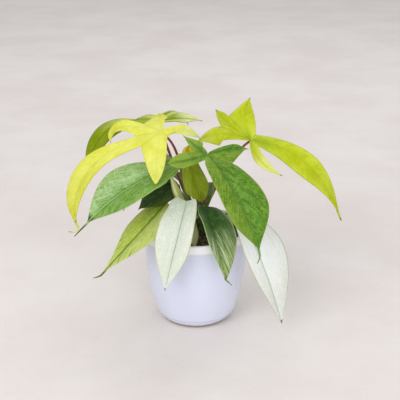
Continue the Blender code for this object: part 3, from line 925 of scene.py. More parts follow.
PALETTES = {
    "lime_left": Palette(
        (215, 217, 82), (190, 194, 38), (213, 217, 92), (217, 224, 140),
        deep=(198, 200, 44, 0.3), fleck=(238, 240, 130, 0.28), streak=(240, 242, 132, 0.35),
        rib=(238, 240, 140, 0.2), shade=0.06, veins=0.0, margin=(212, 208, 56, 0.5),
        edge=(176, 174, 44, 0.5), end=(150, 156, 54), cloudy=0.75, slant=0.6),
    "olive_back": Palette(
        (130, 151, 0), (122, 142, 0), (176, 188, 60), (226, 232, 166),
        deep=(92, 114, 0, 0.5), fleck=(150, 166, 40, 0.35), streak=(152, 168, 44, 0.25),
        rib=(80, 102, 4, 0.7), veins=0.1, margin=(104, 124, 0, 0.3), edge=(92, 88, 36, 0.6),
        half=(212, 220, 118, 0.9), half_to=0.66, gloss=0.06),
    # Its right half, which faces up to the light, is paler and more thickly flecked: partly mint
    # variegation and partly painted sheen
    "green_left": Palette(
        (104, 148, 42), (108, 154, 62), (100, 144, 30), (150, 188, 104),
        deep=(74, 124, 20, 0.8), fleck=(196, 218, 172, 0.4), streak=(158, 194, 116, 0.45),
        rib=(190, 216, 142, 0.8), shade=0.7, veins=0.32, edge=(160, 186, 118, 0.6),
        half=(160, 190, 132, 0.75), end=(52, 80, 34), end_from=0.88, fleck_side=-0.6,
        cloudy=0.0),
    "lime_right": Palette(
        (184, 197, 18), (164, 176, 18), (134, 164, 0), (222, 225, 122),
        deep=(156, 174, 0, 0.4), fleck=(212, 220, 78, 0.25), streak=(210, 218, 66, 0.35),
        rib=(186, 200, 40, 0.2), shade=0.14, veins=0.04, margin=(206, 212, 72, 0.45),
        edge=(150, 142, 50, 0.7), end=(104, 106, 56), end_from=0.94, cloudy=0.8, slant=0.8),
    "green_right": Palette(
        (76, 124, 22), (74, 130, 16), (82, 118, 20), (146, 170, 60),
        deep=(52, 92, 6, 0.75), fleck=(138, 170, 66, 0.65), streak=(130, 164, 74, 0.35),
        rib=(122, 162, 96, 0.35), shade=0.5, veins=0.2, margin=(82, 132, 14, 0.3),
        edge=(156, 156, 72, 0.7), half=(122, 148, 36, 0.7), end=(74, 104, 44), cloudy=0.1,
        slant=1.0),
    "olive_low": Palette(
        (196, 210, 88), (208, 218, 122), (116, 144, 6), (190, 200, 110),
        deep=(106, 138, 6, 0.95), fleck=(218, 226, 140, 0.5), streak=(104, 136, 10, 0.6),
        rib=(72, 98, 12, 0.85), shade=0.6, margin=(210, 218, 124, 0.75),
        edge=(206, 208, 136, 0.6), half=(224, 230, 150, 0.6), half_side=1,
        end=(120, 128, 50), cloudy=0.1, slant=1.6),
    "white_front": Palette(
        (228, 232, 222), (232, 236, 224), (186, 196, 178), (230, 236, 220),
        deep=(186, 198, 178, 0.85), fleck=(240, 244, 236, 0.5), streak=(162, 184, 146, 0.6),
        rib=(130, 152, 116, 0.85), shade=0.6, veins=0.2, margin=(230, 232, 208, 0.4),
        edge=(180, 186, 140, 0.75), end=(110, 96, 66), cloudy=0.0, slant=5.0),
    "dark_front": Palette(
        (44, 82, 22), (160, 182, 100), (36, 68, 20), (128, 156, 92),
        deep=(34, 64, 12, 0.75), fleck=(104, 140, 76, 0.45), streak=(212, 222, 194, 0.9),
        rib=(60, 88, 36, 0.4), veins=0.1, margin=(140, 170, 92, 0.35),
        edge=(186, 204, 156, 0.9), end=(90, 104, 60), tips_from=0.3, streak_from=0.38,
        cloudy=0.0, slant=2.2),
    "white_right": Palette(
        (248, 250, 250), (216, 218, 208), (230, 233, 227), (228, 232, 224),
        deep=(204, 212, 198, 0.7), fleck=(246, 248, 247, 0.5), streak=(190, 202, 182, 0.45),
        rib=(146, 156, 132, 0.75), shade=0.5, veins=0.2, margin=(224, 224, 204, 0.45),
        edge=(166, 172, 130, 0.75), end=(124, 98, 62), cloudy=0.0, slant=3.6),
    "young_olive": Palette(
        (128, 146, 6), (110, 128, 0), (220, 196, 20), (150, 164, 60),
        deep=(92, 110, 0, 0.6), fleck=(146, 160, 50, 0.4), streak=(150, 160, 50, 0.3),
        rib=(140, 154, 44, 0.3), shade=0.2, veins=0.08, edge=(160, 160, 70, 0.5), rough=0.36),
    "small_pale": Palette(
        (180, 182, 130), (186, 186, 140), (140, 150, 84), (190, 190, 146),
        deep=(140, 146, 88, 0.6), fleck=(206, 204, 164, 0.4), streak=(148, 152, 98, 0.6),
        rib=(210, 210, 170, 0.6), edge=(226, 224, 194, 0.7), slant=5.0),
    "dark_low": Palette(
        (38, 62, 20), (46, 74, 28), (26, 44, 12), (60, 90, 44),
        deep=(16, 28, 6, 0.8), fleck=(84, 108, 56, 0.4), streak=(96, 118, 70, 0.5),
        rib=(84, 112, 66, 0.6)),
    "back_left": Palette(
        (100, 148, 48), (112, 160, 58), (88, 134, 40), (132, 172, 84),
        deep=(66, 112, 22, 0.6), fleck=(160, 194, 122, 0.5), streak=(146, 182, 108, 0.35)),
    "back_right": Palette(
        (116, 156, 46), (132, 170, 54), (100, 144, 40), (150, 180, 84),
        deep=(84, 126, 22, 0.6), fleck=(176, 198, 100, 0.5), streak=(166, 192, 96, 0.35)),
    "back_middle": Palette(
        (62, 104, 38), (74, 118, 46), (52, 90, 34), (84, 126, 60),
        deep=(36, 70, 18, 0.6), fleck=(108, 144, 76, 0.4), streak=(120, 150, 88, 0.2)),
}
print(len(PALETTES), "palettes")

# %% A leaf finish from its palette
LEAF_GLOW = 0.12  # how much light passes into the blade
GLOW_DEPTH = 0.0015  # and how far it spreads there, in metres
CLOUD_SCALE = 38.0  # these three are counts of blobs in a metre
BLOTCH_SCALE = 190.0
GRAIN_SCALE = 800.0
HALVES_APART = 7.0  # keeps one half's noise from mirroring the other's
RIB_LINE = 0.5  # half the width of the light line, in millimetres
EDGE_LINE = 0.04  # share of the half blade that the margin's line takes
VEIN_BEND = 2.2  # how far noise carries a side vein from its place, in millimetres


def leaf_finish(name, palette):
    finish = Finish(
        name, Subsurface_Weight=LEAF_GLOW, Subsurface_Radius=(0.6, 1.0, 0.3),
        Subsurface_Scale=GLOW_DEPTH, Specular_IOR_Level=palette.gloss)
    across, along = finish.chart("share")
    off, far = finish.chart("size")
    tone = finish.chart("tone")[0]
    place = finish.place()
    distance = off.size()
    left = across.ramp(-0.02, 0.02) * HALVES_APART

    # Blobs of three sizes
    patches = finish.noise(place, CLOUD_SCALE)
    blotches = finish.noise(place, BLOTCH_SCALE)
    grain = finish.noise(place, GRAIN_SCALE, rough=0.65)

    # The same drawn out along the side veins: broad bands, fibres and broken lines
    slanted = far - distance * palette.slant

    def drawn_out(along_rib, outwards, *looks):
        return finish.noise(finish.vector(along_rib, distance * outwards, left), *looks)

    bands = drawn_out(slanted * 0.2 + patches, 0.05, 1.6, 3.0, 0.6)
    fibres = drawn_out(slanted * 0.5 + blotches * 1.5, 0.12, 1.6, 4.0, 0.7)
    lines = drawn_out(slanted * 1.1 + patches * 4.0, 0.1, 1.2, 2.0, 0.5)
    weave = bands * 0.45 + fibres * 0.55

    def clouded(fine):
        return patches * palette.cloudy + fine * (1.0 - palette.cloudy)

    # Where each mark lies
    outer = along.ramp(palette.tips_from, palette.tips_from + 0.65)
    half = (across * palette.half_side).ramp(-0.05, 0.35)
    half = half * along.ramp(palette.half_to, palette.half_to - 0.3) * (patches * 0.8 + 0.6)
    rim = across.size().ramp(0.4, 1.0) * (patches * 1.2 + 0.3)
    spots = clouded(blotches * 0.4 + grain * 0.6).ramp(0.47, 0.6)
    spots = spots * along.ramp(-0.05, 0.2) * (across * palette.fleck_side + 1.0)
    streaks = weave.ramp(0.48, 0.61)
    streaks = streaks * along.ramp(palette.streak_from - 0.05, palette.streak_from + 0.25)
    phase = (slanted + patches * VEIN_BEND) / VEIN_SPACING
    veins = phase.wave().ramp(0.84, 1.0) * distance.ramp(0.5, 2.5) * lines.ramp(0.4, 0.6)
    shade = distance.ramp(RIB_LINE * 5, RIB_LINE) * (1.0 - along.ramp(0.6, 1.0))
    line = (distance / ((1.25 - along) * RIB_LINE)).ramp(1.3, 0.6)

    colour = finish.paint(
        palette.body,
        (outer, palette.tips),
        (along.ramp(0.42, 0.0), palette.heart),
        (half, palette.half),
        (rim, palette.margin),
        (clouded(weave).ramp(0.53, 0.39), palette.deep),
        (tone * (0.7 + bands * 0.6), palette.pale),
        (spots, palette.fleck),
        (streaks, palette.streak),
        (veins * palette.veins, palette.rib[:3]),
        (shade * palette.shade, palette.deep[:3]),
        (line, palette.rib),
        (across.size().ramp(1 - EDGE_LINE * 1.6, 1 - EDGE_LINE * 0.4), palette.edge),
        (along.ramp(palette.end_from, (1 + palette.end_from) / 2), palette.end))
    roughness = patches * 0.16 + grain * 0.1 + (palette.rough - 0.12)
    height = bands * 0.6 + fibres * 0.4 + grain * 0.35 + line * 0.4 - veins * 0.5
    return finish.finished(colour, roughness, height, 0.3, 0.8)


print("side veins lie", VEIN_SPACING, "mm apart")

# %% Make the blades
for leaf in LEAVES:
    blade = make_blade(leaf)
    blade.name = leaf.name + "_leaf"
    hand_in(blade, leaf.slot, [leaf.name + "_blade"],
            leaf_finish(leaf.name + "_skin", PALETTES[leaf.name]))

# %% [markdown]
# ## Stalks
#
# A leaf stalk leaves the stem at a slant, clasps it with a broad foot, and arches over to
# meet the blade from below. Its upper side has a shallow channel. It is a tube along a
# Bezier curve with the same four control points as in the plain model, only with more
# points, a foot that spreads into the stem and a neck that runs into the blade.

# %% Stalk shape
STEM_FOOT = (3.0, 2.0)
STEM_RADIUS = 6.5
STEM_TOP_RADIUS = 4.0
STEM_TOP = 150.0
SOIL_TOP = 104.0
STALK_FOOT_RADIUS = 2.6
STALK_TOP_RADIUS = 1.5
STALK_LEAN = math.radians(35.0)  # of its foot, from upright
STALK_CHANNEL = 0.16
STALK_STEPS = 44
STALK_SIDES = 20
STALK_SINK = 2.4  # how far the foot reaches into the stem
FOOT_SPREAD = 1.5
FOOT_FADE = 22.0  # how soon the spread is gone
NECK_LENGTH = 2.5  # of the plain model, where a stalk ends straight below its blade
NECK_SHARE = 0.6  # how far up the neck it is at its widest
NECK_RADII = (1.05, 0.9)  # there and at its end, as shares of the stalk's top radius
NECK_SHORT = 0.4  # how far below the hub it ends
CAD_BLADE_THICKNESS = 0.9
CAD_GAP = 0.3  # between two solids of the plain model


def stem_radius(height):
    """Radius of the main stem, which tapers above the soil."""
    share = max(0.0, (height - SOIL_TOP) / (STEM_TOP - SOIL_TOP))
    return STEM_RADIUS + (STEM_TOP_RADIUS - STEM_RADIUS) * share


def bezier(first, second, third, fourth, share):
    rest = 1 - share
    return (rest ** 3 * first + 3 * rest ** 2 * share * second
            + 3 * rest * share ** 2 * third + share ** 3 * fourth)


def blade_droop(leaf):
    """The steepest fall of a rib at the hub, as a slope from the plane of the hub."""
    facing = blade_facing(leaf)
    fall = max([0.0] + [-rib.tangent(0.0).dot(facing) for rib in blade_ribs(leaf)])
    return fall / math.sqrt(1 - fall * fall)


def stalk_controls(leaf):
    """The stalk's four control points: off the stem, and up to a short neck."""
    direction, height = leaf.root
    angle = math.radians(direction)
    outward = Vector((math.cos(angle), math.sin(angle), 0))
    first_way = outward * math.sin(STALK_LEAN) + Vector((0, 0, math.cos(STALK_LEAN)))
    clear = stem_radius(height) + CAD_GAP + STALK_FOOT_RADIUS * math.cos(STALK_LEAN)
    start = Vector((*STEM_FOOT, height)) + outward * clear
    facing = blade_facing(leaf)
    below = CAD_BLADE_THICKNESS / 2 + CAD_GAP + STALK_TOP_RADIUS * blade_droop(leaf)
    end = Vector(leaf.hub) - facing * (below + NECK_LENGTH)
    last_way = Vector(leaf.arrive).normalized() if leaf.arrive else -facing
    return start, start + first_way * leaf.reach[0], end + last_way * leaf.reach[1], end


def make_stalk(leaf):
    controls = stalk_controls(leaf)
    first_way = (controls[1] - controls[0]).normalized()
    points = [controls[0] - first_way * STALK_SINK]
    radii = [STALK_FOOT_RADIUS * FOOT_SPREAD]
    for step in range(STALK_STEPS + 1):
        share = step / STALK_STEPS
        taper = STALK_TOP_RADIUS + (STALK_FOOT_RADIUS - STALK_TOP_RADIUS) * (1 - share) ** 2
        points.append(bezier(*controls, share))
        radii.append(taper * (1 + (FOOT_SPREAD - 1) * math.exp(-share * FOOT_FADE)))
    hub = Vector(leaf.hub)
    points.append(controls[3].lerp(hub, NECK_SHARE))
    points.append(hub - blade_facing(leaf) * NECK_SHORT)
    radii.extend(STALK_TOP_RADIUS * share for share in NECK_RADII)
    stalk = make_tube(leaf.name + "_petiole", points, radii, STALK_SIDES,
                      hollow=STALK_CHANNEL, face=Vector((0, 0, 1)))
    smooth(stalk, 60.0)
    return stalk


print("stalks are", 2 * STALK_TOP_RADIUS, "to", 2 * STALK_FOOT_RADIUS, "mm thick")

# %% [markdown]
# Young stalks of this plant are red-brown, and older ones green with fine lengthwise
# lines. A noise that is stretched along the stalk draws those lines, and another one mixes
# green into the red near the foot, where the stalk is thickest and least sunlit.

# %% Stalk finish
def stalk_finish(name, body, foot, line):
    finish = Finish(name, Subsurface_Weight=0.08, Subsurface_Radius=(1.0, 0.6, 0.3),
                    Subsurface_Scale=0.002, Specular_IOR_Level=0.5)
    turn, along = finish.chart("share")
    lines = finish.noise(finish.vector(turn * 9.0, along * 1.4, 0.0), 1.5, 4.0)
    spots = finish.noise(finish.place(), 260.0)
    colour = finish.paint(
        foot,
        (along.ramp(0.0, 0.55), body),
        (lines.ramp(0.46, 0.7), (*line, 0.55)),
        (spots.ramp(0.6, 0.72), (*foot, 0.3)))
    return finish.finished(colour, lines * 0.2 + 0.3, lines + spots * 0.4, 0.3, 0.6)


STALK_FINISHES = {
    "stalk_red": stalk_finish("red_stalk", (142, 66, 40), (120, 96, 46), (96, 40, 26)),
    "stalk_green": stalk_finish("green_stalk", (120, 140, 60), (92, 116, 50), (160, 172, 96)),
}

for leaf in LEAVES:
    hand_in(make_stalk(leaf), leaf.stalk_slot, [leaf.name + "_stalk"],
            STALK_FINISHES[leaf.stalk_slot])

# %% [markdown]
# ## The new leaf
#
# One leaf has not opened yet. It is still rolled up lengthwise like a cigar, so its
# section is a spiral: the radius grows a little on the way round, and the last edge lies
# on top of the first as a thin seam. That edge is what makes it read as a leaf and not as
# a stick.

# %% Rolled leaf
NEW_LEAF_FOOT = Vector((0.6, -3.2, 128.0))
NEW_LEAF_BEND = Vector((-14.0, -28.0, 145.0))
NEW_LEAF_TIP = Vector((-28.0, -32.0, 194.0))
NEW_LEAF_SIDE = Vector((0.3, 1.0, 0.0))  # the last edge lies opposite this side
NEW_LEAF_RADIUS = 5.5
NEW_LEAF_FOOT_SHARE = 0.26
NEW_LEAF_TIP_SHARE = 0.20
NEW_LEAF_BELLY = 2.0
NEW_LEAF_STEPS = 60
NEW_LEAF_SIDES = 40
NEW_LEAF_SHEET = 0.4
ROLL_STEP = 0.16  # how much further out the last edge lies, as a share of the radius


def make_new_leaf():
    points = []
    radii = []
    for step in range(NEW_LEAF_STEPS + 1):
        share = step / NEW_LEAF_STEPS
        ends = NEW_LEAF_FOOT_SHARE * (1 - share) + NEW_LEAF_TIP_SHARE * share
        swell = (1 - NEW_LEAF_FOOT_SHARE) * math.sin(math.pi * share ** NEW_LEAF_BELLY)
        points.append(bow(NEW_LEAF_FOOT, NEW_LEAF_BEND, NEW_LEAF_TIP, share))
        radii.append(NEW_LEAF_RADIUS * (ends + swell))
    frames = carried_frames(points, NEW_LEAF_SIDE)

    def place(across, along):
        number = round(along * NEW_LEAF_STEPS)
        grow = 1 + ROLL_STEP * (across - 1) / 2
        return points[number] + spoke(frames[number], math.pi * across) * radii[number] * grow

    leaf = add_grid("rolled_leaf", NEW_LEAF_SIDES, NEW_LEAF_STEPS)
    carry(leaf, place)
    thicken(leaf, NEW_LEAF_SHEET, -1.0)
    smooth(leaf, 50.0)
    return leaf


def new_leaf_finish():
    finish = Finish("new_leaf_skin", Subsurface_Weight=0.1, Subsurface_Scale=0.002)
    turn, along = finish.chart("share")
    lines = finish.noise(finish.vector(turn * 6.0, along * 2.0, 0.0), 1.4, 4.0)
    colour = finish.paint(
        (116, 130, 56),
        (along.ramp(0.1, 0.9), (170, 176, 92)),
        (lines.ramp(0.45, 0.7), (206, 208, 150, 0.5)),
        # painted highlight along both edges of the rolled sheet, at its seam
        (turn.size().ramp(0.88, 0.96), (240, 238, 200, 0.8)))
    return finish.finished(colour, lines * 0.2 + 0.32, lines, 0.3, 0.6)


hand_in(make_new_leaf(), "new_leaf_skin", ["new_leaf"], new_leaf_finish())

# %% [markdown]
# ## The main stem
#
# The stem is short and thick, and ringed with the scars of leaves it has shed. It is an
# upright tube of many rings, and each ring has its own radius, a little larger at a scar
# than between two.

# %% Stem
STEM_FOOT_HEIGHT = 78.0
STEM_DOME = 3.0  # how far below its top the stem starts to round off
STEM_DOME_LEAST = 0.02  # keeps the top ring from closing to a point
SCAR_SPACING = 9.0
SCAR_RISE = 0.45
SCAR_SHARPNESS = 0.9
STEM_RINGS = 130
STEM_SIDES = 40


def make_stem():
    points = []
    radii = []
    for step in range(STEM_RINGS + 1):
        height = STEM_FOOT_HEIGHT + (STEM_TOP - STEM_FOOT_HEIGHT) * step / STEM_RINGS
        radius = stem_radius(height)
        if height > SOIL_TOP:
            from_scar = (height - SOIL_TOP) % SCAR_SPACING
            nearest = min(from_scar, SCAR_SPACING - from_scar)
            radius -= SCAR_RISE * (1 - math.exp(-(nearest / SCAR_SHARPNESS) ** 2))
        rest = min(1.0, (STEM_TOP - height) / STEM_DOME)
        points.append(Vector((*STEM_FOOT, height)))
        radii.append(radius * math.sqrt(max(STEM_DOME_LEAST, 1 - (1 - rest) ** 2)))
    stem = make_tube("ringed_stem", points, radii, STEM_SIDES)
    smooth(stem, 50.0)
    return stem


def stem_finish():
    finish = Finish("stem_skin", Specular_IOR_Level=0.4)
    place = finish.place()
    height = finish.parts(place)[2]
    rings = ((height - SOIL_TOP * MM) / (SCAR_SPACING * MM)).maths("FRACT")
    near_scar = (rings - 0.5).size().ramp(0.4, 0.49)
    spots = finish.noise(place, 160.0, 4.0)
    colour = finish.paint(
        (84, 98, 46),
        (spots.ramp(0.4, 0.65), (118, 112, 62)),
        (near_scar, (106, 84, 54, 0.8)))
    return finish.finished(colour, spots * 0.3 + 0.45, spots + near_scar * 0.5, 0.6, 0.7)


hand_in(make_stem(), "stem_skin", ["main_stem"], stem_finish())

# %% [markdown]
# ## The pot
#
# The pot is thrown on a wheel, so it is turned here as well: its profile is drawn as a
# chain of points and spun once round. The wall swells gently and draws in quickly to the
# foot. The rim is rounded, and that roundness is what catches the brightest light.

# %% Pot shape
POT_HEIGHT = 118.0
POT_RADIUS = 62.5
FOOT_RADIUS = 43.5
FOOT_EDGE = 13.0
SWELL = 2.8
POT_WALL = 4.0
POT_FLOOR = 6.0
FLOOR_CORNER = 3.0  # height above the floor where the inner wall turns in
FLOOR_CUT = 4.0  # and how far in it goes
RIM_ROUND = 2.0
RIM_STEPS = 12
POT_RINGS = 44
RING_CROWDING = 1.4  # above 1, rings lie closer together near the foot
POT_SIDES = 128
FOOT_RECESS = 1.2
FOOT_RING = 4.0
FOOT_BEVEL = (1.0, 0.6, 0.4)  # how far in or out the foot ring's corners are cut
FOOT_RISE = (0.2, 0.15)  # and how far up, inside and outside


def pot_radius(height):
    """Outer radius of the pot's wall at a height."""
    share = height / POT_HEIGHT
    wall = FOOT_RADIUS + (POT_RADIUS - FOOT_RADIUS) * (1 - (1 - share) ** SWELL)
    below = max(0.0, 1 - height / FOOT_EDGE)
    return wall - FOOT_EDGE * (1 - math.sqrt(1 - below * below))


def pot_profile():
    """From the middle of the underside, out, up the wall, over the rim and down inside."""
    foot = pot_radius(0.0)
    ring = foot - FOOT_RING
    slope, inner_cut, outer_cut = FOOT_BEVEL
    inner_rise, outer_rise = FOOT_RISE
    points = [(0.0, FOOT_RECESS), (ring - slope, FOOT_RECESS), (ring, inner_rise),
              (ring + inner_cut, 0.0), (foot - outer_cut, 0.0)]
    top = POT_HEIGHT - RIM_ROUND
    for step in range(POT_RINGS + 1):
        height = outer_rise + (top - outer_rise) * (step / POT_RINGS) ** RING_CROWDING
        points.append((pot_radius(height), height))
    middle = pot_radius(POT_HEIGHT) - RIM_ROUND
    for step in range(1, RIM_STEPS):
        turn = math.pi * step / RIM_STEPS
        points.append((middle + RIM_ROUND * math.cos(turn), top + RIM_ROUND * math.sin(turn)))
    inner_rings = POT_RINGS // 2
    for step in range(inner_rings + 1):
        height = top - (top - POT_FLOOR - FLOOR_CORNER) * step / inner_rings
        points.append((pot_radius(height) - POT_WALL, height))
    points.append((pot_radius(POT_FLOOR) - POT_WALL - FLOOR_CUT, POT_FLOOR))
    points.append((0.0, POT_FLOOR))
    return points


def spin_once_round():
    bpy.ops.mesh.spin(steps=POT_SIDES, angle=2 * math.pi, center=(0, 0, 0), axis=(0, 0, 1))
    bpy.ops.mesh.select_all(action="SELECT")


def make_pot():
    """Both columns of a narrow grid go to the profile, and welded they are its line."""
    profile = pot_profile()
    last = len(profile) - 1

    def place(across, along):
        radius, height = profile[round(along * last)]
        return Vector((radius, 0.0, height))

    pot = add_grid("glazed_pot", 1, last)
    carry(pot, place)
    edit(pot, weld, spin_once_round, weld, face_outwards)
    smooth(pot, 60.0)
    return pot


print("the pot's profile has", len(pot_profile()), "points")

# %% [markdown]
# White glaze is never one flat white. It has a faint lavender cast, and its surface
# undulates slowly, which bends reflections. A band at the rim is painted whiter, as painted
# light for the light that the rim catches. Near the foot a faint ring runs round it, with a
# broken painted highlight below, and the very foot is painted darker, as painted shade
# where it curves under. On the ring that the pot stands on the clay is bare, so the finish
# turns rough and sandy there.

# %% Glaze
# height of the band round the top that is painted whiter, as painted light on the rim
LIT_RIM_BAND = 10.0
LIT_RIM_FADE = 4.0
FOOT_GROOVE = 12.0  # height of the faint ring above the foot
FOOT_GROOVE_WIDTH = 2.2
FOOT_HIGHLIGHT = 8.5  # below this height a broken painted highlight brightens the glaze
FOOT_SHADE = 3.6  # below this height the foot is painted darker, as painted shade where it curves under
BARE_CLAY = 0.8  # below this height there is no glaze


def glaze_finish():
    finish = Finish("white_glaze", Specular_IOR_Level=0.5, Coat_Roughness=0.06)
    place = finish.place()
    height = finish.parts(place)[2] / MM
    drift = finish.noise(place, 14.0, rough=0.5)
    speckle = finish.noise(place, 520.0, 2.0, 0.5)
    foot_breakup = finish.noise(place, 240.0)
    rim = (height + drift * 4.0).ramp(POT_HEIGHT - LIT_RIM_BAND, POT_HEIGHT - LIT_RIM_BAND + LIT_RIM_FADE)
    bare = height.ramp(BARE_CLAY, BARE_CLAY / 4)
    colour = finish.paint(
        (214, 219, 239),
        (drift.ramp(0.35, 0.65), (219, 224, 242)),
        # painted light: the rim band is whiter, for the light that the rim catches
        (rim, (250, 251, 254)),
        (speckle.ramp(0.66, 0.74), (190, 188, 196, 0.12)),
        ((height - FOOT_GROOVE).size().ramp(FOOT_GROOVE_WIDTH, 0.0), (188, 190, 210, 0.5)),
        # painted highlight: a broken bright line low on the foot
        (foot_breakup.ramp(0.44, 0.56) * height.ramp(FOOT_HIGHLIGHT, FOOT_HIGHLIGHT * 0.7), (255, 254, 252)),
        # painted shade: the lowest millimetres of the foot darken where it curves under towards the
        # floor
        ((height + foot_breakup * 2.0 - 1.0).ramp(FOOT_SHADE, FOOT_SHADE * 0.6), (104, 96, 104, 0.75)),
        (bare, (206, 196, 180)))
    finish.join(finish.shader.inputs["Coat Weight"], 0.5 - bare * 0.5)
    roughness = drift * 0.08 + bare * 0.5 + 0.16
    return finish.finished(colour, roughness, drift + speckle * 0.02 * (1 + bare * 8), 0.6, 0.6)


hand_in(make_pot(), "white_glaze", ["pot"], glaze_finish())

# %% [markdown]
# ## Soil
#
# Potting mix is crumbs of peat and bark. The body of it is one closed plug whose top is
# heaped towards the stem and broken up by noise, and on it lie loose crumbs. Four crumbs
# are modelled, each from an icosphere whose points are pushed about, and several hundred
# copies of them are scattered with a fixed seed, turned at random and partly sunk in.

# %% Soil plug
SOIL_HEAP = 5.0
SOIL_UNEVEN = 0.6
SOIL_BROKEN = 0.9
BREAKS = 0.35  # how many there are in a millimetre
BREAK_LOOKS = (0.7, 2.2, 5)  # how smooth they are, how much finer each layer is, layers
SOIL_SIDES = 120
SOIL_RINGS = 56
SOIL_EDGE = 0.72  # share of the rings that make the top
SOIL_SIDE = 0.8  # share of the rings below it that make the side
SOIL_SHOULDER = 1.0  # how far below the top the side starts
SOIL_SLACK = 0.05  # between the top's edge and the pot
SOIL_CORNER = 4.0  # how far the side turns in at its foot


def soil_height(x, y):
    """The heaped top, with low lumps and the finer broken surface."""
    radius = math.hypot(x, y)
    angle = math.atan2(y, x)
    share = radius / POT_RADIUS
    lumps = math.sin(5 * angle + 9 * share) + math.sin(3 * angle - 14 * share)
    broken = noise.fractal(Vector((x, y, 3.0)) * BREAKS, *BREAK_LOOKS)
    heap = SOIL_HEAP * (1 - share * share)
    return SOIL_TOP + heap + SOIL_UNEVEN * lumps + SOIL_BROKEN * broken


def make_soil():
    outer = pot_radius(SOIL_TOP) - POT_WALL - SOIL_SLACK
    shoulder = SOIL_TOP - SOIL_SHOULDER
    depth = shoulder - POT_FLOOR - CAD_GAP

    def place(across, along):
        turn = math.pi * across
        if along <= SOIL_EDGE:
            x = outer * along / SOIL_EDGE * math.cos(turn)
            y = outer * along / SOIL_EDGE * math.sin(turn)
            return Vector((x, y, soil_height(x, y)))
        down = (along - SOIL_EDGE) / (1 - SOIL_EDGE)
        height = shoulder - depth * min(1.0, down / SOIL_SIDE)
        inward = max(0.0, down - SOIL_SIDE) / (1 - SOIL_SIDE)
        wall = pot_radius(height) - POT_WALL - CAD_GAP - SOIL_CORNER * down ** 6
        radius = wall * (1 - inward)
        return Vector((radius * math.cos(turn), radius * math.sin(turn), height))

    soil = add_grid("potting_soil", SOIL_SIDES, SOIL_RINGS)
    carry(soil, place)
    edit(soil, weld, face_outwards)
    smooth(soil, 60.0)
    return soil


print("the soil's middle lies at", round(soil_height(0.0, 0.0), 1), "mm")

# %% Crumbs
CRUMBS = 520
CRUMB_PATTERNS = 4
CRUMB_SIZES = (0.8, 2.6)
CRUMB_LENGTHS = (0.8, 1.3)  # length of a crumb for its width
CHIP_LENGTHS = (1.6, 2.6)  # and of a chip of bark
CHIP_SHARE = 0.25
CRUMB_FLATNESS = 0.7
CRUMB_RISE = 0.25  # how far its middle stands above the soil, as a share of its size
CRUMB_PUSH = 0.55  # how far its points are pushed in and out, as a share too
PUSH_SCALE = 1.3
PUSH_SHIFT = 3.1  # how far the patterns lie from each other in the noise
CRUMB_CLEAR = 2.5  # how far the crumbs stay from the pot's wall
NEAREST = 0.02  # keeps them from the very middle
rng = random.Random(71)


def any_turn():
    return rng.uniform(0.0, 2 * math.pi)


def make_crumb(number):
    """One lump, with its points pushed in and out."""
    pick()
    bpy.ops.mesh.primitive_ico_sphere_add(subdivisions=2, radius=1.0)
    crumb = name_active("crumb_" + str(number))
    for point in crumb.data.vertices:
        push = noise.noise(point.co * PUSH_SCALE + Vector((number * PUSH_SHIFT, 0.0, 0.0)))
        point.co = point.co * (1 + CRUMB_PUSH * push)
    return crumb


def scatter_crumbs():
    patterns = [make_crumb(number) for number in range(CRUMB_PATTERNS)]
    copies = []
    outer = pot_radius(SOIL_TOP) - POT_WALL - CRUMB_CLEAR
    for number in range(CRUMBS):
        radius = outer * math.sqrt(rng.uniform(NEAREST, 1.0))
        turn = any_turn()
        x = radius * math.cos(turn)
        y = radius * math.sin(turn)
        size = rng.uniform(*CRUMB_SIZES)
        length = rng.uniform(*(CHIP_LENGTHS if rng.random() < CHIP_SHARE else CRUMB_LENGTHS))
        crumb = bpy.data.objects.new("crumb", patterns[number % CRUMB_PATTERNS].data.copy())
        bpy.context.collection.objects.link(crumb)
        crumb.location = Vector((x, y, soil_height(x, y) + size * CRUMB_RISE)) * MM
        crumb.rotation_euler = [any_turn() for _ in range(3)]
        crumb.scale = Vector((size * length, size, size * CRUMB_FLATNESS)) * MM
        copies.append(crumb)
    for pattern in patterns:
        bpy.data.objects.remove(pattern, do_unlink=True)
    bpy.context.view_layer.update()
    crumbs = join_pieces("soil_crumbs", copies)
    pick(crumbs)
    bpy.ops.object.transform_apply(location=True, rotation=True, scale=True)
    smooth(crumbs, 45.0)
    return crumbs


def soil_finish(name, dark, light, fleck, scale):
    finish = Finish(name, Specular_IOR_Level=0.25)
    place = finish.place()
    lumps = finish.noise(place, scale, 5.0, 0.7)
    grains = finish.noise(place, 1400.0, rough=0.7)
    colour = finish.paint(
        dark,
        (lumps.ramp(0.38, 0.66), light),
        (grains.ramp(0.62, 0.72), (*fleck, 0.6)))
    return finish.finished(colour, grains * 0.2 + 0.78, lumps + grains * 0.4, 1.2, 0.9)


hand_in(make_soil(), "potting_mix", ["soil"],
        soil_finish("potting_mix", (74, 66, 46), (128, 118, 82), (160, 156, 112), 180.0))
hand_in(scatter_crumbs(), "potting_mix", [],
        soil_finish("crumb_skin", (80, 70, 50), (138, 126, 90), (168, 162, 118), 240.0))

# %% [markdown]
# ## Floor and light
#
# The plant stands on a plain pale floor in soft, bright light. A large lamp, high in front
# and to the left, gives the shape. The pale sky fills the shadows, and so does a very wide
# lamp, low and far away in front to the right. A weak one behind lights the far margins.

# %% Floor
FLOOR_SIZE = 12.0
FLOOR_PARTS = 8


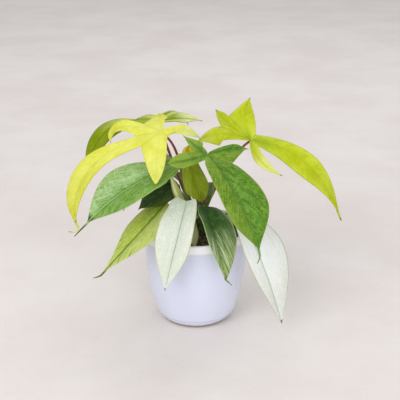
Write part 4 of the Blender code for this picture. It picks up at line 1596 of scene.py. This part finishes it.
def floor_finish():
    finish = Finish("pale_floor", Specular_IOR_Level=0.3)
    place = finish.place()
    cloud = finish.noise(place, 5.0, 4.0)
    grain = finish.noise(place, 220.0)
    colour = finish.paint(
        (228, 219, 214),
        (cloud.ramp(0.3, 0.7), (236, 229, 225)),
        (grain.ramp(0.55, 0.75), (206, 197, 192, 0.25)))
    return finish.finished(colour, grain * 0.2 + 0.55, grain, 0.3, 0.3)


floor = add_grid("floor", FLOOR_PARTS, FLOOR_PARTS, FLOOR_SIZE)
floor.data.materials.append(floor_finish())
floor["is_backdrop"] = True
print("the floor is", FLOOR_SIZE, "m wide")

# %% Lamps
# For each lamp: its place and the height it aims at, in metres, its width, watts and colour
LAMPS = {
    "key_lamp": ((-0.8, -1.4, 1.3), 0.15, 1.1, 15.0, (1.0, 0.985, 0.965)),
    "fill_lamp": ((1.4, -3.8, 1.1), 0.12, 3.6, 54.0, (0.97, 0.98, 1.0)),
    "back_lamp": ((0.2, 1.2, 1.6), 0.2, 1.4, 7.0, (1.0, 1.0, 1.0)),
}
SKY_COLOUR = (0.93, 0.94, 0.97, 1.0)
SKY_STRENGTH = 0.68

for name, (stand, aim, width, watts, light) in LAMPS.items():
    pick()
    bpy.ops.object.light_add(type="AREA", location=stand)
    lamp = name_active(name)
    way = Vector((0.0, 0.0, aim)) - Vector(stand)
    lamp.rotation_euler = way.to_track_quat("-Z", "Y").to_euler()
    lamp.data.size = width
    lamp.data.energy = watts
    lamp.data.color = light

world = bpy.data.worlds.new("pale_sky")
world.use_nodes = True
sky = world.node_tree.nodes["Background"]
sky.inputs["Color"].default_value = SKY_COLOUR
sky.inputs["Strength"].default_value = SKY_STRENGTH
bpy.context.scene.world = world
bpy.context.scene.view_settings.view_transform = "Standard"
print(len(LAMPS), "lamps and a pale sky")

# %% [markdown]
# ## Sizes
#
# The dressed plant is meant to be as big as the plain model, so both boxes are
# printed side by side.

# %% Print both sizes
boxes = {
    "cad": [list(corner) for corner in CAD_BOX],
    "visual": [list(corner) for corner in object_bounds()],
}
for name, box in boxes.items():
    print(name, "box:", [[round(value, 4) for value in corner] for corner in box])
